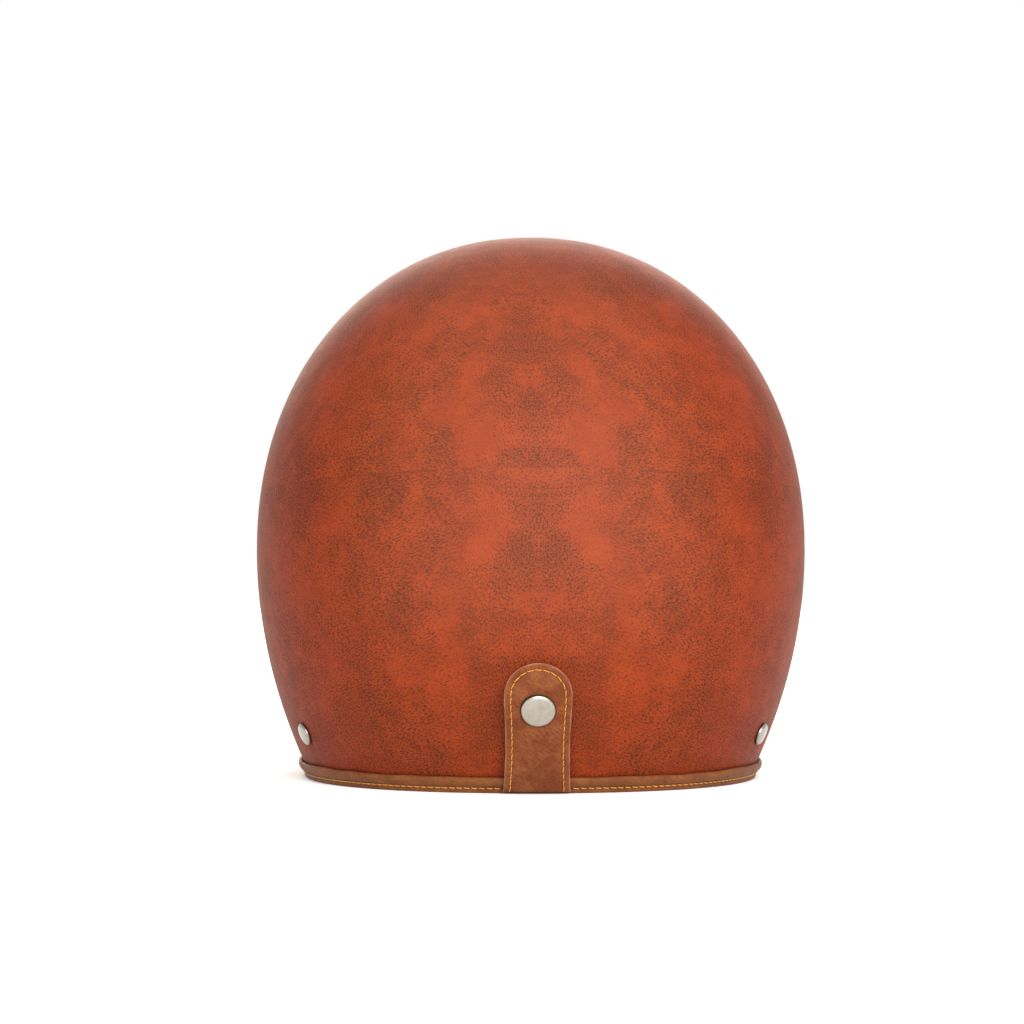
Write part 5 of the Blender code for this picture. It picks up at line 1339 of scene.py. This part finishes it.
def make_folded_end():
    """The long strap's folded end, its two rows of stitches and the cap that keeps it."""
    strap = Strap(-1.0)
    lying, fold = strap.lying, strap.fold
    path = smooth_path([lying(along, height) for along, height in (
        (fold - 0.6, 1.5), (fold + 2.4, 1.5), (fold + 3.7, 2.2), (fold + 3.7, 4.1),
        (fold + 2.4, 4.7), (fold - 2, 4.7), (fold - 30, 4.7), (34, 4.7), (25.5, 4.7),
        (23.3, 4.7))])
    end = piece("webbing_end", ribbon(path, strap.level, run=84.0), WEBBING, None,
                "strap_webbing", "strap_end", sharp=60)
    tuple(lying(fold, 2.4))
    tuple(lying(fold, 3.9))
    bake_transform(end)
    sewn = Shape()
    for along in (25.5, 28.0):
        strap_sewing(sewn, [lying(along, 5.5, x) for x in np.linspace(-11, 11, 23)])
    piece("end_stitches", sewn, BLACK_THREAD, "folded_end", "strap_webbing")
    profile = [
        (0.0, 6.62), (3.6, 6.58), (4.3, 6.66), (4.9, 6.88), (5.5, 6.92), (6.1, 6.72), (6.6, 6.3),
        (6.8, 5.9), (6.6, 5.6), (4.2, 5.6), (4.2, 3.9), (2.4, 3.9), (2.4, 5.3), (0.0, 5.3),
    ]
    # Painted shade in the ring where the cap's dished top meets its raised rim
    turned("keeper_cap_disc", profile, Matrix.Translation(Vector(lying(37.0, 0.0))), 56,
           CAP_METAL, "folded_end", "bright_metal", "keeper_cap",
           hollow=[0.0, 0.1, 0.3, 0.1] + [0.0] * 10)


def make_rings():
    """Two D-rings in the short strap's loop: each a straight bar and a bow, lying tilted."""
    strap = Strap(1.0)
    half, straight, bow, wire = 14.5, 7.0, 12.0, 1.5
    tilt = math.radians(-5.5)
    outline = [(half * (2 * k / 12 - 1), 0.0) for k in range(1, 12)]
    for angle in math.pi * np.arange(49) / 48:
        outline.append((half * math.cos(angle), straight + bow * math.sin(angle)))
    for word, height in (("lower", 3.7), ("upper", 7.0)):
        path = np.array([strap.lying(strap.end + 2.5 + y * math.cos(tilt),
                                     height + y * math.sin(tilt), x) for x, y in outline])
        for _ in range(2):
            path = (np.roll(path, 1, axis=0) + 2 * path + np.roll(path, -1, axis=0)) / 4
        shape = tube(Shape(), path, wire * MM, sides=14, closed=True)
        piece(f"d_ring_{word}", shape, STUD_METAL, f"{word}_ring", "bright_metal", f"ring_{word}")


def finish_nodes():
    """Gives a finish to the nodes whose own shape is right."""
    finishes = {name: STUD_METAL for name in (
        "tab_stud", "tab_washer", "keeper_stud", "brow_washer_left", "brow_washer_centre",
        "brow_washer_right")}
    for word, _ in SIDES:
        finishes[f"anchor_plate_{word}"] = PLATE_METAL
        for name in ("strap_spacer", "cheek_board", "cheek_stud_front", "cheek_stud_rear",
                     "cheek_stud_top"):
            finishes[f"{name}_{word}"] = PLASTIC
    for name, finish in finishes.items():
        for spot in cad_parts[name].material_slots:
            spot.material = finish


def studio():
    """A pale floor, soft lights behind the helmet and before it, and the camera."""
    scene = bpy.context.scene
    corners = np.array([[(-6, -6, 0), (6, -6, 0)], [(-6, 6, 0), (6, 6, 0)]], float)
    ground = mesh_of("floor", Shape().grid(corners, closed=False), studio_floor())
    ground.location.z = -0.05 * MM
    world = bpy.data.worlds.new("studio")
    scene.world = world
    world.use_nodes = True
    sky = world.node_tree.nodes["Background"]
    sky.inputs["Color"].default_value = (1.0, 1.0, 1.0, 1.0)
    sky.inputs["Strength"].default_value = 1.0
    lights = (
        ("key", (-0.62, 3.2, 1.6), 3.0, 2.2, 192.0, (1.0, 1.0, 1.0)),
        ("front_fill", (0.05, -2.7, 1.15), 2.2, 1.4, 60.0, (1.0, 0.88, 0.76)),
    )
    for name, spot, wide, tall, power, colour in lights:
        data = bpy.data.lights.new(name, "AREA")
        data.shape, data.size, data.size_y, data.energy = "RECTANGLE", wide, tall, power
        data.color = colour
        lamp = bpy.data.objects.new(name, data)
        lamp.location = spot
        lamp.rotation_mode = "QUATERNION"
        lamp.rotation_quaternion = (Vector(spot) - Vector((0, 0, 0.12))).to_track_quat("Z", "Y")
        scene.collection.objects.link(lamp)
    data = bpy.data.cameras.new("camera")
    data.lens, data.sensor_width = 131.8, 36.0
    camera = bpy.data.objects.new("camera", data)
    distance, aside, height, yaw = 1.7, 8.4 * MM, 119.5 * MM, math.radians(1.1)
    back = Vector((math.sin(yaw), math.cos(yaw), 0.0))
    right = Vector((-math.cos(yaw), math.sin(yaw), 0.0))
    camera.location = back * distance - right * aside + Vector((0.0, 0.0, height))
    camera.rotation_mode = "QUATERNION"
    camera.rotation_quaternion = back.to_track_quat("Z", "Y")
    scene.collection.objects.link(camera)
    scene.camera = camera
    scene.view_settings.view_transform = "Standard"


studio()
make_shell()
make_trim()
make_tab()
make_tab_snap()
make_rivets()
make_brow_studs()
make_foam()
make_lining()
make_neck_roll()
make_cheek_blocks()
make_cheek_pads()
make_straps()
make_folded_end()
make_rings()
finish_nodes()
